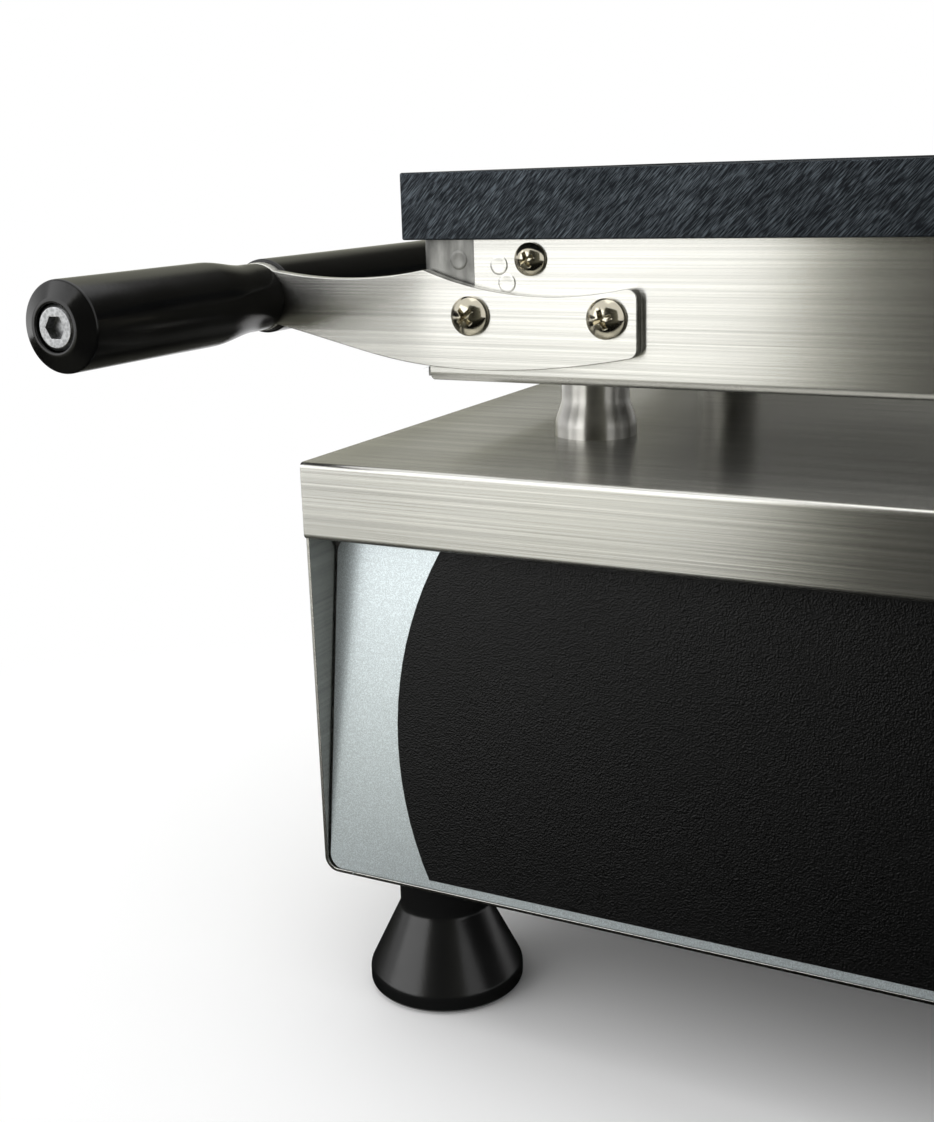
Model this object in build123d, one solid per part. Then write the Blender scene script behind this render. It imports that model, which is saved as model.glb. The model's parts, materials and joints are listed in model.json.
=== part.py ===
from build123d import *
import math
import os

# Rotating waffle maker, in millimetres. +X is to the right, +Y to the back and +Z up.
# Two irons lie open side by side on a sheet-steel base. Either one swings 180 degrees about the hinge axle.
# The model is drawn with the hinge axle over X = 0 and the irons' middle at Y = 0, and it is moved along Y
# at the end, so that its origin is on the floor at the middle of its outer box.

# Base
BASE_WIDTH = 565.0
BASE_DEPTH = 296.4
BASE_HEIGHT = 140.3
BASE_SHEET = 1.2
SHELL_BEND = 5.0
LIP_HEIGHT = 22.6
LIP_BEND = 3.0
LIP_RETURN = 9.0
SHELL_TOP_FLANGE = 12.0
REAR_RECESS = 8.0
REAR_FLANGE = 14.0

# Front panel
PANEL_SHEET = 1.5
PANEL_TILT = 8.0
PANEL_SIDE_GAP = 0.6
PANEL_TOP_GAP = 4.4
PANEL_CORNER = 5.0
PANEL_FLANGE = 12.0
OVERLAY_THICKNESS = 0.4
OVERLAY_MARGIN = 25.0
OVERLAY_BULGE = 13.8
OVERLAY_TOP_BAND = 1.4
OVERLAY_BOTTOM_BAND = 2.9

# Feet and support posts
FOOT_COLLAR_RADIUS = 15.5
FOOT_COLLAR_HEIGHT = 18.6
FOOT_RADIUS = 27.0
FOOT_CONE_HEIGHT = 23.6
FOOT_RIM_HEIGHT = 6.5
FOOT_INSET = 29.5
POST_FOOT_RADIUS = 13.7
POST_FOOT_HEIGHT = 5.7
POST_FLARE_HEIGHT = 7.0
POST_RADIUS = 11.35
POST_HEIGHT = 24.1
POST_TOP_CHAMFER = 0.5
POST_SPACING = 145.0
POST_FROM_PLATE_EDGE = 42.5
REST_GAP = 0.3

# Irons
PLATE_WIDTH = 241.0
PLATE_DEPTH = 250.0
PLATE_THICKNESS = 20.3
PLATE_TO_AXLE = 15.0
PLATE_OVERHANG = 4.8
PLATE_END_OVERHANG = 3.8
PLATE_GROUND_EDGE = 0.6
CLOSED_GAP = 0.4
CASING_HEIGHT = 44.1
CASING_SHEET = 1.2
CASING_BEND = 3.0
CASING_NOTCH = 18.8
CASING_NOTCH_DEPTH = 14.5
END_CAP_SETBACK = 2.0
END_CAP_FLANGE = 29.0

# Waffle cavities
CAVITIES = 2
CAVITY_COLUMNS = 4
CAVITY_ROWS = 7
STUD_PITCH_X = 26.0
STUD_PITCH_Y = 29.0
CAVITY_SPACING = 10.0
CAVITY_DEPTH = 13.0
CAVITY_DRAFT = 12.0
STUD_HEIGHT = 8.0
STUD_GROOVE = 5.0
STUD_DRAFT = 22.0

# Parts under the plate
HEATER_RADIUS = 4.0
HEATER_PASS_SPACING = 56.0
HEATER_HALF_LENGTH = 80.0
HEATER_BEND = 24.0
HEATER_TAIL = 20.0
TERMINAL_RADIUS = 1.5
TERMINAL_LENGTH = 8.0
BOSS_RADIUS = 7.0
BOSS_SPACING_Y = 60.0
LUG_WIDTH = 16.0
LUG_HEIGHT = 14.0
LUG_DEPTH = 10.0
BULB_RADIUS = 3.0
BULB_LENGTH = 86.0
CAPILLARY_LENGTH = 20.0
BULB_CLEARANCE = 0.1
BULB_RIB_WIDTH = 14.0
BULB_RIB_LENGTH = 100.0
CLAMP_SHEET = 2.0
CLAMP_WIDTH = 196.0
CLAMP_DEPTH = 176.0
INSULATION_THICKNESS = 20.0
INSULATION_CLEARANCE = 0.4

# Handles
BAR_FROM_CASING = 60.8
BAR_BELOW_AXLE = 38.7
BRACKET_THICKNESS = 4.0
BRACKET_END_RADIUS = 11.2
BRACKET_END_SPREAD = 51.0
BRACKET_OVERLAP = 73.9
BRACKET_PEAK_INSET = 2.9
BRACKET_PEAK_RISE = 9.1
BRACKET_TIP_TOP = 4.7
BRACKET_TIP_BOTTOM = 16.0
BRACKET_TIP_CORNER = 3.0
BRACKET_LEFT_SAG = 2.6
BRACKET_RIGHT_SAG = 5.4
BRACKET_LOWER_EDGE = ((30.6, 14.2), (52.9, 19.1), (90.4, 21.3))
BRACKET_SCREW_INSETS = (19.2, 64.5)
BRACKET_SCREW_DROP = 4.7
GRIP_RADIUS = 13.2
GRIP_NECK_RADIUS = 11.0
GRIP_LENGTH = 95.7
GRIP_NECK_LENGTH = 7.0
GRIP_TAPER_LENGTH = 22.0
GRIP_END_CHAMFER_LENGTH = 2.9
GRIP_END_CHAMFER_RADIUS = 5.2
GRIP_RECESS_RADIUS = 7.0
GRIP_RECESS_DEPTH = 7.6
BAR_RADIUS = 12.2
HANDLE_BOLT_CLEARANCE = 0.2
HANDLE_NUT_RIM = 1.0
HANDLE_NUT_DOME_HEIGHT = 3.0

# Hinge
AXLE_RADIUS = 7.0
AXLE_BORE_RADIUS = 4.5
AXLE_CLEARANCE = 0.05
AXLE_THREAD_RADIUS = 6.0
AXLE_THREAD_LENGTH = 9.0
AXLE_NUT_WIDTH = 19.0
AXLE_NUT_HEIGHT = 7.0
AXLE_DOME_RADIUS = 8.0
EAR_RADIUS = 12.0
EAR_THICKNESS = 4.0
EAR_GAP = 0.5
EAR_LENGTH = 44.0
EAR_HEIGHT = 24.0
EAR_SCREW_SPACING = 24.0
PILLAR_WIDTH = 22.0
PILLAR_THICKNESS = 12.0
PILLAR_FOOT_LENGTH = 44.0
PILLAR_FOOT_WIDTH = 34.0
PILLAR_FOOT_HEIGHT = 6.0
LEAD_HOLE_RADIUS = 4.0

# Fasteners
M5_RADIUS = 2.5
M5_HEAD_RADIUS = 5.0
M5_HEAD_HEIGHT = 3.7
M5_LENGTH = 10.0
M6_RADIUS = 3.0
M6_HEAD_RADIUS = 6.1
M6_HEAD_HEIGHT = 4.6
M6_LENGTH = 13.0
M6_NUT_WIDTH = 10.0
M6_NUT_HEIGHT = 5.0
M8_RADIUS = 4.0
M8_HEX_WIDTH = 13.0
M8_HEX_HEIGHT = 5.3
M8_SOCKET_HEAD_RADIUS = 6.5
M8_SOCKET_HEAD_HEIGHT = 6.4
M8_SOCKET_WIDTH = 6.0
M8_SOCKET_DEPTH = 4.0
M8_FOOT_BOLT_LENGTH = 22.0
M8_POST_BOLT_LENGTH = 16.0
SCREW_HOLE_CLEARANCE = 0.2
WASHER_RADIUS = 9.0
WASHER_THICKNESS = 1.6

# Controls
TIMER_FROM_END = 262.5
THERMOSTAT_FROM_END = 172.5
LAMPS_FROM_END = 114.5
SWITCH_FROM_END = 60.5
KNOB_RADIUS = 20.0
KNOB_HEIGHT = 19.0
KNOB_SKIRT_HEIGHT = 4.0
KNOB_GAP = 0.5
KNOB_TOP_RADIUS = 16.0
KNOB_BAR_WIDTH = 9.0
KNOB_BORE_DEPTH = 12.0
SPINDLE_RADIUS = 3.0
SPINDLE_CLEARANCE = 0.05
CONTROL_WIDTH = 38.0
CONTROL_CORNER = 3.0
TAB_THICKNESS = 1.0
TAB_WIDTH = 6.0
TAB_LENGTH = 8.0
CONTROL_TAB_SPACING = 12.0
CONTROL_TAB_INSET = 4.0
TIMER_HEIGHT = 46.0
THERMOSTAT_HEIGHT = 40.0
TIMER_DEPTH = 34.0
THERMOSTAT_DEPTH = 28.0
SWITCH_BEZEL = (26.0, 34.0, 2.0)
SWITCH_BODY = (22.0, 30.0, 24.0)
SWITCH_WALL = 2.0
SWITCH_RECESS_DEPTH = 14.0
SWITCH_TAB_SPACING = 16.0
ROCKER_SIDE_GAP = 0.3
ROCKER_HALF_HEIGHT = 11.2
ROCKER_PIVOT_DEPTH = 4.0
ROCKER_PIN_RADIUS = 1.5
ROCKER_TILT = 10.0
LAMP_SPACING = 30.0
LAMP_BEZEL_RADIUS = 6.5
LAMP_RADIUS = 4.8
LAMP_BEZEL_HEIGHT = 1.4
LAMP_LENS_RISE = 3.0
LAMP_BODY_LENGTH = 20.0

# Rear panel and inlet
TERMINAL_BLOCK_FROM_REAR = 60.0
VENT_COLUMNS = 14
VENT_PITCH = 12.0
VENT_WIDTH = 4.0
VENT_HEIGHT = 34.0
VENT_ROW_SPACING = 46.0
REAR_SCREW_INSET_X = 8.0
REAR_SCREW_INSET_Z = 22.0
GLAND_FROM_END = 82.5
GLAND_ABOVE_SHELL = 30.0
GLAND_THREAD_RADIUS = 8.0
GLAND_BORE_RADIUS = 4.5
GLAND_HEX_WIDTH = 22.0
GLAND_HEX_LENGTH = 5.0
GLAND_DOME_RADIUS = 10.0
GLAND_DOME_LENGTH = 14.0
GLAND_THREAD_LENGTH = 12.0
GLAND_NUT_LENGTH = 4.5
TERMINAL_BLOCK = (44.0, 24.0, 18.0)
TERMINAL_POLES = 3

# Levels and places worked out from the sizes above
FOOT_HEIGHT = FOOT_COLLAR_HEIGHT + FOOT_CONE_HEIGHT + FOOT_RIM_HEIGHT
SHELL_BOTTOM = FOOT_HEIGHT
SHELL_FLOOR = SHELL_BOTTOM + BASE_SHEET
COVER_TOP = SHELL_BOTTOM + BASE_HEIGHT
COVER_UNDER = COVER_TOP - BASE_SHEET
LIP_BOTTOM = COVER_TOP - LIP_HEIGHT
CASING_BOTTOM = COVER_TOP + POST_HEIGHT + REST_GAP
CASING_TOP = CASING_BOTTOM + CASING_HEIGHT
PLATE_TOP = CASING_TOP + PLATE_THICKNESS
AXLE_Z = PLATE_TOP + CLOSED_GAP / 2
HALF_BASE = BASE_WIDTH / 2
HALF_DEPTH = BASE_DEPTH / 2
WALL_INSIDE = HALF_BASE - BASE_SHEET
PLATE_OUTER = PLATE_TO_AXLE + PLATE_WIDTH
IRON_X = -(PLATE_TO_AXLE + PLATE_OUTER) / 2
CASING_INNER = PLATE_TO_AXLE + PLATE_OVERHANG
CASING_OUTER = PLATE_OUTER - PLATE_END_OVERHANG
CASING_FACE = PLATE_DEPTH / 2 - PLATE_OVERHANG
CLAMP_TOP = CASING_TOP - 2 * HEATER_RADIUS
BAR_X = -(CASING_OUTER + BAR_FROM_CASING)
BAR_Z = AXLE_Z - BAR_BELOW_AXLE
BRACKET_FACE = CASING_FACE + BRACKET_THICKNESS
GRIP_END = BRACKET_FACE + GRIP_LENGTH
REAR_PANEL_Y = HALF_DEPTH - REAR_RECESS
REAR_REACH = REAR_PANEL_Y + GLAND_HEX_LENGTH + GLAND_DOME_LENGTH
MID_Y = (GRIP_END - REAR_REACH) / 2
POST_X = -(PLATE_OUTER - POST_FROM_PLATE_EDGE)
PANEL_HALF_WIDTH = WALL_INSIDE - PANEL_SIDE_GAP
PANEL_LENGTH = (LIP_BOTTOM - PANEL_TOP_GAP - SHELL_FLOOR) / math.cos(math.radians(PANEL_TILT))
EAR_STEP = EAR_THICKNESS + EAR_GAP
PILLAR_OUTSIDE = CASING_FACE - EAR_GAP
AXLE_SHOULDER = CASING_FACE + EAR_THICKNESS + EAR_STEP + EAR_GAP
GLAND_Z = SHELL_BOTTOM + GLAND_ABOVE_SHELL
TIMER_X = HALF_BASE - TIMER_FROM_END
THERMOSTAT_X = HALF_BASE - THERMOSTAT_FROM_END
LAMPS_X = HALF_BASE - LAMPS_FROM_END
SWITCH_X = HALF_BASE - SWITCH_FROM_END
GLAND_X = HALF_BASE - GLAND_FROM_END
CAVITY_WIDTH = CAVITY_COLUMNS * STUD_PITCH_X
CAVITY_LENGTH = CAVITY_ROWS * STUD_PITCH_Y
FRONT_AND_REAR = (-1, 1)
HEATER_PASSES = (1.5 * HEATER_PASS_SPACING, 0.5 * HEATER_PASS_SPACING)
EAR_SCREW_X = CASING_INNER + EAR_LENGTH / 2

# The front panel's own plane: x along the machine, y up the slope from the bottom edge, z out of the face
PANEL_NORMAL = Vector(0, -math.cos(math.radians(PANEL_TILT)), math.sin(math.radians(PANEL_TILT)))
PANEL_FOOT_Z = SHELL_FLOOR + PANEL_SHEET * math.sin(math.radians(PANEL_TILT))
PANEL_PLANE = Plane(origin=(0, -HALF_DEPTH, PANEL_FOOT_Z), x_dir=(1, 0, 0), z_dir=PANEL_NORMAL)


def span(x, y, z):
    """A box between two values on each axis."""
    middle = Pos((x[0] + x[1]) / 2, (y[0] + y[1]) / 2, (z[0] + z[1]) / 2)
    return middle * Box(abs(x[1] - x[0]), abs(y[1] - y[0]), abs(z[1] - z[0]))


def upright(radius, x, y, bottom, top):
    """A cylinder along Z."""
    return Pos(x, y, (bottom + top) / 2) * Cylinder(radius, top - bottom)


def along_y(radius, x, z, start, end):
    """A cylinder along Y."""
    return Pos(x, (start + end) / 2, z) * Rot(90, 0, 0) * Cylinder(radius, abs(end - start))


def turned(points):
    """A body turned about Z from a half outline of (radius, height) points."""
    outline = make_face(Polyline(*[(radius, 0, height) for radius, height in points], close=True))
    return revolve(outline, Axis.Z)


def hexagon(width, height):
    """A hexagonal prism on the XY plane, measured across its flats."""
    return extrude(RegularPolygon(width / 2, 6, major_radius=False), height)


def seated(x, y, z, outward):
    """The place of something that seats at a point and looks outward."""
    return Plane(origin=(x, y, z), z_dir=outward).location


def dome_arc(radius, edge, height):
    """The half outline of a spherical cap, from its edge at (radius, edge) to its top on the axis."""
    rise = height - edge
    sphere = (radius ** 2 + rise ** 2) / (2 * rise)
    half_angle = math.asin(min(1.0, radius / sphere)) / 2
    middle = (sphere * math.sin(half_angle), 0, height - sphere * (1 - math.cos(half_angle)))
    return ThreePointArc((radius, 0, edge), middle, (0, 0, height))


def domed(points, height):
    """A body turned about Z: a dome of a given height over the half outline's last point."""
    outline = Polyline((0, 0, height), *[(radius, 0, z) for radius, z in points])
    return revolve(make_face([outline, dome_arc(points[-1][0], points[-1][1], height)]), Axis.Z)


def pan_head_screw(radius, length, head_radius, head_height):
    """A cross-recessed pan-head screw that seats on Z = 0 with its shank below."""
    head = domed([(0, 0), (head_radius, 0), (head_radius, head_height * 0.3)], head_height)
    recess_width = head_radius * 0.2
    recess_length = head_radius * 1.05
    recess_depth = head_height * 0.55
    recess = Pos(0, 0, head_height) * (
        Box(recess_length, recess_width, 2 * recess_depth) + Box(recess_width, recess_length, 2 * recess_depth)
    )
    shank = upright(radius, 0, 0, -length, 0)
    return head + shank - recess


def hex_bolt(length):
    """An M8 hexagon bolt with its washer's underside on Z = 0 and its shank above."""
    washer = upright(WASHER_RADIUS, 0, 0, -WASHER_THICKNESS, 0)
    head = Pos(0, 0, -WASHER_THICKNESS - M8_HEX_HEIGHT) * hexagon(M8_HEX_WIDTH, M8_HEX_HEIGHT)
    return washer + head + upright(M8_RADIUS, 0, 0, 0, length)


def nut(width, height, bore_radius):
    return hexagon(width, height) - upright(bore_radius, 0, 0, -1, height + 1)


# Base

def base_shell():
    """The U-shaped outer shell: floor and side walls in one sheet, with top and rear flanges."""
    outer = span((-HALF_BASE, HALF_BASE), (-HALF_DEPTH, HALF_DEPTH), (SHELL_BOTTOM, COVER_UNDER))
    outer = fillet(outer.edges().filter_by(Axis.Y).group_by(Axis.Z)[0], SHELL_BEND)
    inner = span((-WALL_INSIDE, WALL_INSIDE), (-BASE_DEPTH, BASE_DEPTH), (SHELL_FLOOR, COVER_TOP + BASE_HEIGHT))
    inner = fillet(inner.edges().filter_by(Axis.Y).group_by(Axis.Z)[0], SHELL_BEND - BASE_SHEET)
    shell = outer - inner
    lip_room = BASE_SHEET + PANEL_SIDE_GAP / 4
    for side in FRONT_AND_REAR:
        behind_lip = side * (HALF_DEPTH - lip_room)
        shell -= span((-BASE_WIDTH, BASE_WIDTH), (behind_lip, side * BASE_DEPTH), (LIP_BOTTOM, COVER_TOP))
        wall = side * WALL_INSIDE
        flange_end = side * (WALL_INSIDE - SHELL_TOP_FLANGE)
        flange_half = HALF_DEPTH - LIP_RETURN - BASE_SHEET
        shell += span((flange_end, wall), (-flange_half, flange_half), (COVER_UNDER - BASE_SHEET, COVER_UNDER))
        rear_end = side * (WALL_INSIDE - REAR_FLANGE)
        rear_face = REAR_PANEL_Y - BASE_SHEET
        shell += span((rear_end, wall), (rear_face - BASE_SHEET, rear_face), (SHELL_FLOOR, LIP_BOTTOM))
    for x, y in foot_places():
        shell -= upright(M8_RADIUS + SCREW_HOLE_CLEARANCE, x, y, SHELL_BOTTOM - 1, SHELL_FLOOR + 1)
    for x, z in rear_screw_places():
        shell -= along_y(M5_RADIUS, x, z, REAR_PANEL_Y - M5_LENGTH, REAR_PANEL_Y)
    return shell


def top_cover():
    """The cover: top, front and rear lips with a bend and a short return at the bottom of each lip."""
    outline = Pos(0, 0, (COVER_TOP + LIP_BOTTOM) / 2) * Box(BASE_WIDTH, BASE_DEPTH, LIP_HEIGHT)
    outline = fillet(outline.edges().filter_by(Axis.X), LIP_BEND)
    hollow = Pos(0, 0, (COVER_TOP + LIP_BOTTOM) / 2) * Box(
        BASE_WIDTH + 2, BASE_DEPTH - 2 * BASE_SHEET, LIP_HEIGHT - 2 * BASE_SHEET
    )
    hollow = fillet(hollow.edges().filter_by(Axis.X), LIP_BEND - BASE_SHEET)
    cover = outline - hollow
    open_half = HALF_DEPTH - LIP_RETURN
    cover -= span((-BASE_WIDTH, BASE_WIDTH), (-open_half, open_half), (LIP_BOTTOM - 1, COVER_UNDER - LIP_BEND))
    wall_half = HALF_DEPTH - BASE_SHEET
    for side in FRONT_AND_REAR:
        cover -= span(
            (side * WALL_INSIDE, side * BASE_WIDTH), (-wall_half, wall_half), (LIP_BOTTOM - 1, COVER_UNDER)
        )
        for x, y in pillar_bolt_places(side):
            cover -= upright(M8_RADIUS + SCREW_HOLE_CLEARANCE, x, y, COVER_UNDER - 1, COVER_TOP + 1)
        cover -= upright(LEAD_HOLE_RADIUS, 0, pillar_middle(side), COVER_UNDER - 1, COVER_TOP + 1)
    for x, y in post_places():
        cover -= upright(M8_RADIUS + SCREW_HOLE_CLEARANCE, x, y, COVER_UNDER - 1, COVER_TOP + 1)
    return cover


def panel_solid(width, bottom, top, thickness, lift, corner):
    """A rounded sheet on the front panel's plane, lifted off that plane."""
    sheet = Pos(0, (bottom + top) / 2) * RectangleRounded(width, top - bottom, corner)
    return PANEL_PLANE * Pos(0, 0, lift) * extrude(sheet, thickness)


def front_panel():
    """The sloping silver panel with a flange at the bottom that stands on the shell's floor."""
    width = 2 * PANEL_HALF_WIDTH
    panel = panel_solid(width, 0, PANEL_LENGTH, PANEL_SHEET, -PANEL_SHEET, PANEL_CORNER)
    flange_half = PANEL_HALF_WIDTH - 2 * PANEL_CORNER
    flange = span(
        (-flange_half, flange_half),
        (-HALF_DEPTH + PANEL_SHEET / 2, -HALF_DEPTH + PANEL_FLANGE),
        (SHELL_FLOOR, SHELL_FLOOR + PANEL_SHEET),
    )
    brace_bottom = PANEL_LENGTH - PANEL_CORNER - PANEL_SHEET
    brace = PANEL_PLANE * span(
        (-flange_half, flange_half), (brace_bottom, brace_bottom + PANEL_SHEET), (-PANEL_FLANGE, -PANEL_SHEET / 2)
    )
    return panel + flange + brace - control_holes()


def overlay_outline():
    """The dark field: straight top and bottom, and ends that bulge outwards."""
    bottom = OVERLAY_BOTTOM_BAND
    top = PANEL_LENGTH - OVERLAY_TOP_BAND
    middle = (bottom + top) / 2
    bulge_x = PANEL_HALF_WIDTH - OVERLAY_MARGIN
    corner_x = bulge_x - OVERLAY_BULGE
    return make_face([
        Line((-corner_x, bottom), (corner_x, bottom)),
        ThreePointArc((corner_x, bottom), (bulge_x, middle), (corner_x, top)),
        Line((corner_x, top), (-corner_x, top)),
        ThreePointArc((-corner_x, top), (-bulge_x, middle), (-corner_x, bottom)),
    ])


def fascia_overlay():
    return PANEL_PLANE * extrude(overlay_outline(), OVERLAY_THICKNESS) - control_holes()


def control_place(x, up=0.0, out=0.0):
    """A place on the front panel, measured from the middle of its slope."""
    return PANEL_PLANE.location * Pos(x, PANEL_LENGTH / 2 + up, out)


def control_holes():
    """What the front panel and its overlay are pierced with."""
    deep = 8 * PANEL_SHEET
    spindle = Cylinder(SPINDLE_RADIUS + 2 * SCREW_HOLE_CLEARANCE, deep)
    holes = control_place(TIMER_X) * spindle + control_place(THERMOSTAT_X) * spindle
    holes += control_place(SWITCH_X) * Box(SWITCH_BODY[0], SWITCH_BODY[1], deep)
    for up in lamp_offsets():
        holes += control_place(LAMPS_X, up) * Cylinder(LAMP_RADIUS, deep)
    return holes


def lamp_offsets():
    return (-LAMP_SPACING / 2, LAMP_SPACING / 2)


def rear_panel():
    """The flat rear panel with two rows of vents and the hole of the cable gland."""
    top = COVER_UNDER - 2 * BASE_SHEET
    half = WALL_INSIDE - PANEL_SIDE_GAP
    panel = span((-half, half), (REAR_PANEL_Y - BASE_SHEET, REAR_PANEL_Y), (SHELL_FLOOR, top))
    lip_room = span(
        (-BASE_WIDTH, BASE_WIDTH), (HALF_DEPTH - LIP_RETURN, HALF_DEPTH), (LIP_BOTTOM - 1, COVER_TOP)
    )
    panel -= lip_room
    panel = fillet(panel.edges().filter_by(Axis.Y).group_by(Axis.Z)[0], SHELL_BEND)
    middle_z = (SHELL_FLOOR + LIP_BOTTOM) / 2
    first = -(VENT_COLUMNS - 1) * VENT_PITCH / 2
    slot = Rot(90, 0, 0) * extrude(SlotOverall(VENT_HEIGHT, VENT_WIDTH, rotation=90), 4 * BASE_SHEET, both=True)
    for row in (-0.5, 0.5):
        for column in range(VENT_COLUMNS):
            panel -= Pos(first + column * VENT_PITCH, REAR_PANEL_Y, middle_z + row * VENT_ROW_SPACING) * slot
    panel -= along_y(GLAND_THREAD_RADIUS, GLAND_X, GLAND_Z, REAR_PANEL_Y - 5, REAR_PANEL_Y + 5)
    for x, z in rear_screw_places():
        panel -= along_y(M5_RADIUS, x, z, REAR_PANEL_Y - 5, REAR_PANEL_Y + 5)
    return panel


def rear_screw_places():
    x = WALL_INSIDE - REAR_SCREW_INSET_X
    low = SHELL_BOTTOM + REAR_SCREW_INSET_Z
    high = LIP_BOTTOM - REAR_SCREW_INSET_Z
    return [(side * x, z) for side in FRONT_AND_REAR for z in (low, high)]


def rear_panel_screws():
    screw = pan_head_screw(M5_RADIUS, M5_LENGTH, M5_HEAD_RADIUS, M5_HEAD_HEIGHT)
    return [seated(x, REAR_PANEL_Y, z, (0, 1, 0)) * screw for x, z in rear_screw_places()]


def foot_places():
    x = HALF_BASE - FOOT_INSET
    y = HALF_DEPTH - FOOT_INSET
    return [(-x, -y), (x, -y), (-x, y), (x, y)]


def foot(x, y):
    """A moulded foot: collar, cone and rim, with a blind hole for its bolt."""
    cone_bottom = FOOT_RIM_HEIGHT
    cone_top = FOOT_RIM_HEIGHT + FOOT_CONE_HEIGHT
    body = turned([
        (0, 0), (FOOT_RADIUS - 1.5, 0), (FOOT_RADIUS, 1.5), (FOOT_RADIUS, cone_bottom),
        (FOOT_COLLAR_RADIUS, cone_top), (FOOT_COLLAR_RADIUS, FOOT_HEIGHT), (0, FOOT_HEIGHT),
    ])
    hole_bottom = FOOT_HEIGHT - M8_FOOT_BOLT_LENGTH
    return Pos(x, y, 0) * (body - upright(M8_RADIUS, 0, 0, hole_bottom, FOOT_HEIGHT + 1))


def post_places():
    y = POST_SPACING / 2
    return [(POST_X, -y), (POST_X, y), (-POST_X, -y), (-POST_X, y)]


def post(x, y):
    """A turned support post whose wide foot flows into a straight top."""
    flare_top = POST_FOOT_HEIGHT + POST_FLARE_HEIGHT
    outline = make_face([
        Polyline((0, 0, 0), (POST_FOOT_RADIUS, 0, 0), (POST_FOOT_RADIUS, 0, POST_FOOT_HEIGHT)),
        Spline((POST_FOOT_RADIUS, 0, POST_FOOT_HEIGHT), (POST_RADIUS, 0, flare_top),
               tangents=[(0, 0, 1), (0, 0, 1)]),
        Polyline((POST_RADIUS, 0, flare_top), (POST_RADIUS, 0, POST_HEIGHT - POST_TOP_CHAMFER),
                 (POST_RADIUS - POST_TOP_CHAMFER, 0, POST_HEIGHT), (0, 0, POST_HEIGHT), (0, 0, 0)),
    ])
    body = revolve(outline, Axis.Z)
    return Pos(x, y, COVER_TOP) * (body - upright(M8_RADIUS, 0, 0, -1, M8_POST_BOLT_LENGTH))


def pillar_middle(side):
    return side * (PILLAR_OUTSIDE - PILLAR_THICKNESS / 2)


def pillar_bolt_places(side):
    inner = side * (PILLAR_OUTSIDE - PILLAR_FOOT_LENGTH + WASHER_RADIUS)
    outer_half = PILLAR_FOOT_WIDTH / 2 - M8_RADIUS - 2.5
    return [(-outer_half, inner), (outer_half, inner)]


def base_bolts():
    """The bolts that hold the feet from inside, and the posts and pillars from under the cover."""
    bolts = []
    for x, y in foot_places():
        bolts.append(Pos(x, y, SHELL_FLOOR) * Rot(180, 0, 0) * hex_bolt(M8_FOOT_BOLT_LENGTH + BASE_SHEET))
    for x, y in post_places():
        bolts.append(Pos(x, y, COVER_UNDER) * hex_bolt(M8_POST_BOLT_LENGTH + BASE_SHEET))
    for side in FRONT_AND_REAR:
        for x, y in pillar_bolt_places(side):
            bolts.append(Pos(x, y, COVER_UNDER) * small_bolt())
    return bolts


def small_bolt():
    """An M8 bolt without washer for the pillars' feet."""
    head = Pos(0, 0, -M8_HEX_HEIGHT) * hexagon(M8_HEX_WIDTH, M8_HEX_HEIGHT)
    return head + upright(M8_RADIUS, 0, 0, 0, BASE_SHEET + PILLAR_FOOT_HEIGHT)


def hinge_pillar(side):
    """A standing bar with a bolted foot, the axle's bore and a lead passage down its middle."""
    y_out = side * PILLAR_OUTSIDE
    y_in = side * (PILLAR_OUTSIDE - PILLAR_THICKNESS)
    y_foot = side * (PILLAR_OUTSIDE - PILLAR_FOOT_LENGTH)
    half = PILLAR_WIDTH / 2
    bar = span((-half, half), (y_in, y_out), (COVER_TOP, AXLE_Z))
    head = along_y(half, 0, AXLE_Z, y_in, y_out)
    foot_half = PILLAR_FOOT_WIDTH / 2
    foot_plate = span((-foot_half, foot_half), (y_foot, y_out), (COVER_TOP, COVER_TOP + PILLAR_FOOT_HEIGHT))
    pillar = bar + head + foot_plate - along_y(AXLE_RADIUS, 0, AXLE_Z, 0, 2 * y_out)
    pillar -= upright(LEAD_HOLE_RADIUS, 0, pillar_middle(side), COVER_TOP - 1, AXLE_Z)
    for x, y in pillar_bolt_places(side):
        pillar -= upright(M8_RADIUS, x, y, COVER_TOP - 1, COVER_TOP + PILLAR_FOOT_HEIGHT + 1)
    return pillar


def hinge_axle():
    """The hollow axle, stepped down at each end for its nut."""
    end = AXLE_SHOULDER + AXLE_THREAD_LENGTH
    axle = along_y(AXLE_RADIUS, 0, AXLE_Z, -AXLE_SHOULDER, AXLE_SHOULDER)
    axle += along_y(AXLE_THREAD_RADIUS, 0, AXLE_Z, -end, end)
    axle -= along_y(AXLE_BORE_RADIUS, 0, AXLE_Z, -end - 1, end + 1)
    for side in FRONT_AND_REAR:
        axle -= upright(LEAD_HOLE_RADIUS, 0, pillar_middle(side), AXLE_Z - 2 * AXLE_RADIUS, AXLE_Z)
    return axle


def axle_nuts():
    """Dome nuts that close the axle's ends."""
    dome_height = AXLE_DOME_RADIUS * 0.7
    flats = hexagon(AXLE_NUT_WIDTH, AXLE_NUT_HEIGHT)
    dome = domed([(0, 1), (AXLE_DOME_RADIUS, 1), (AXLE_DOME_RADIUS, AXLE_NUT_HEIGHT)],
                 AXLE_NUT_HEIGHT + dome_height)
    body = flats + dome - upright(AXLE_THREAD_RADIUS, 0, 0, -1, AXLE_THREAD_LENGTH)
    return [seated(0, side * AXLE_SHOULDER, AXLE_Z, (0, side, 0)) * body for side in FRONT_AND_REAR]


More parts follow.
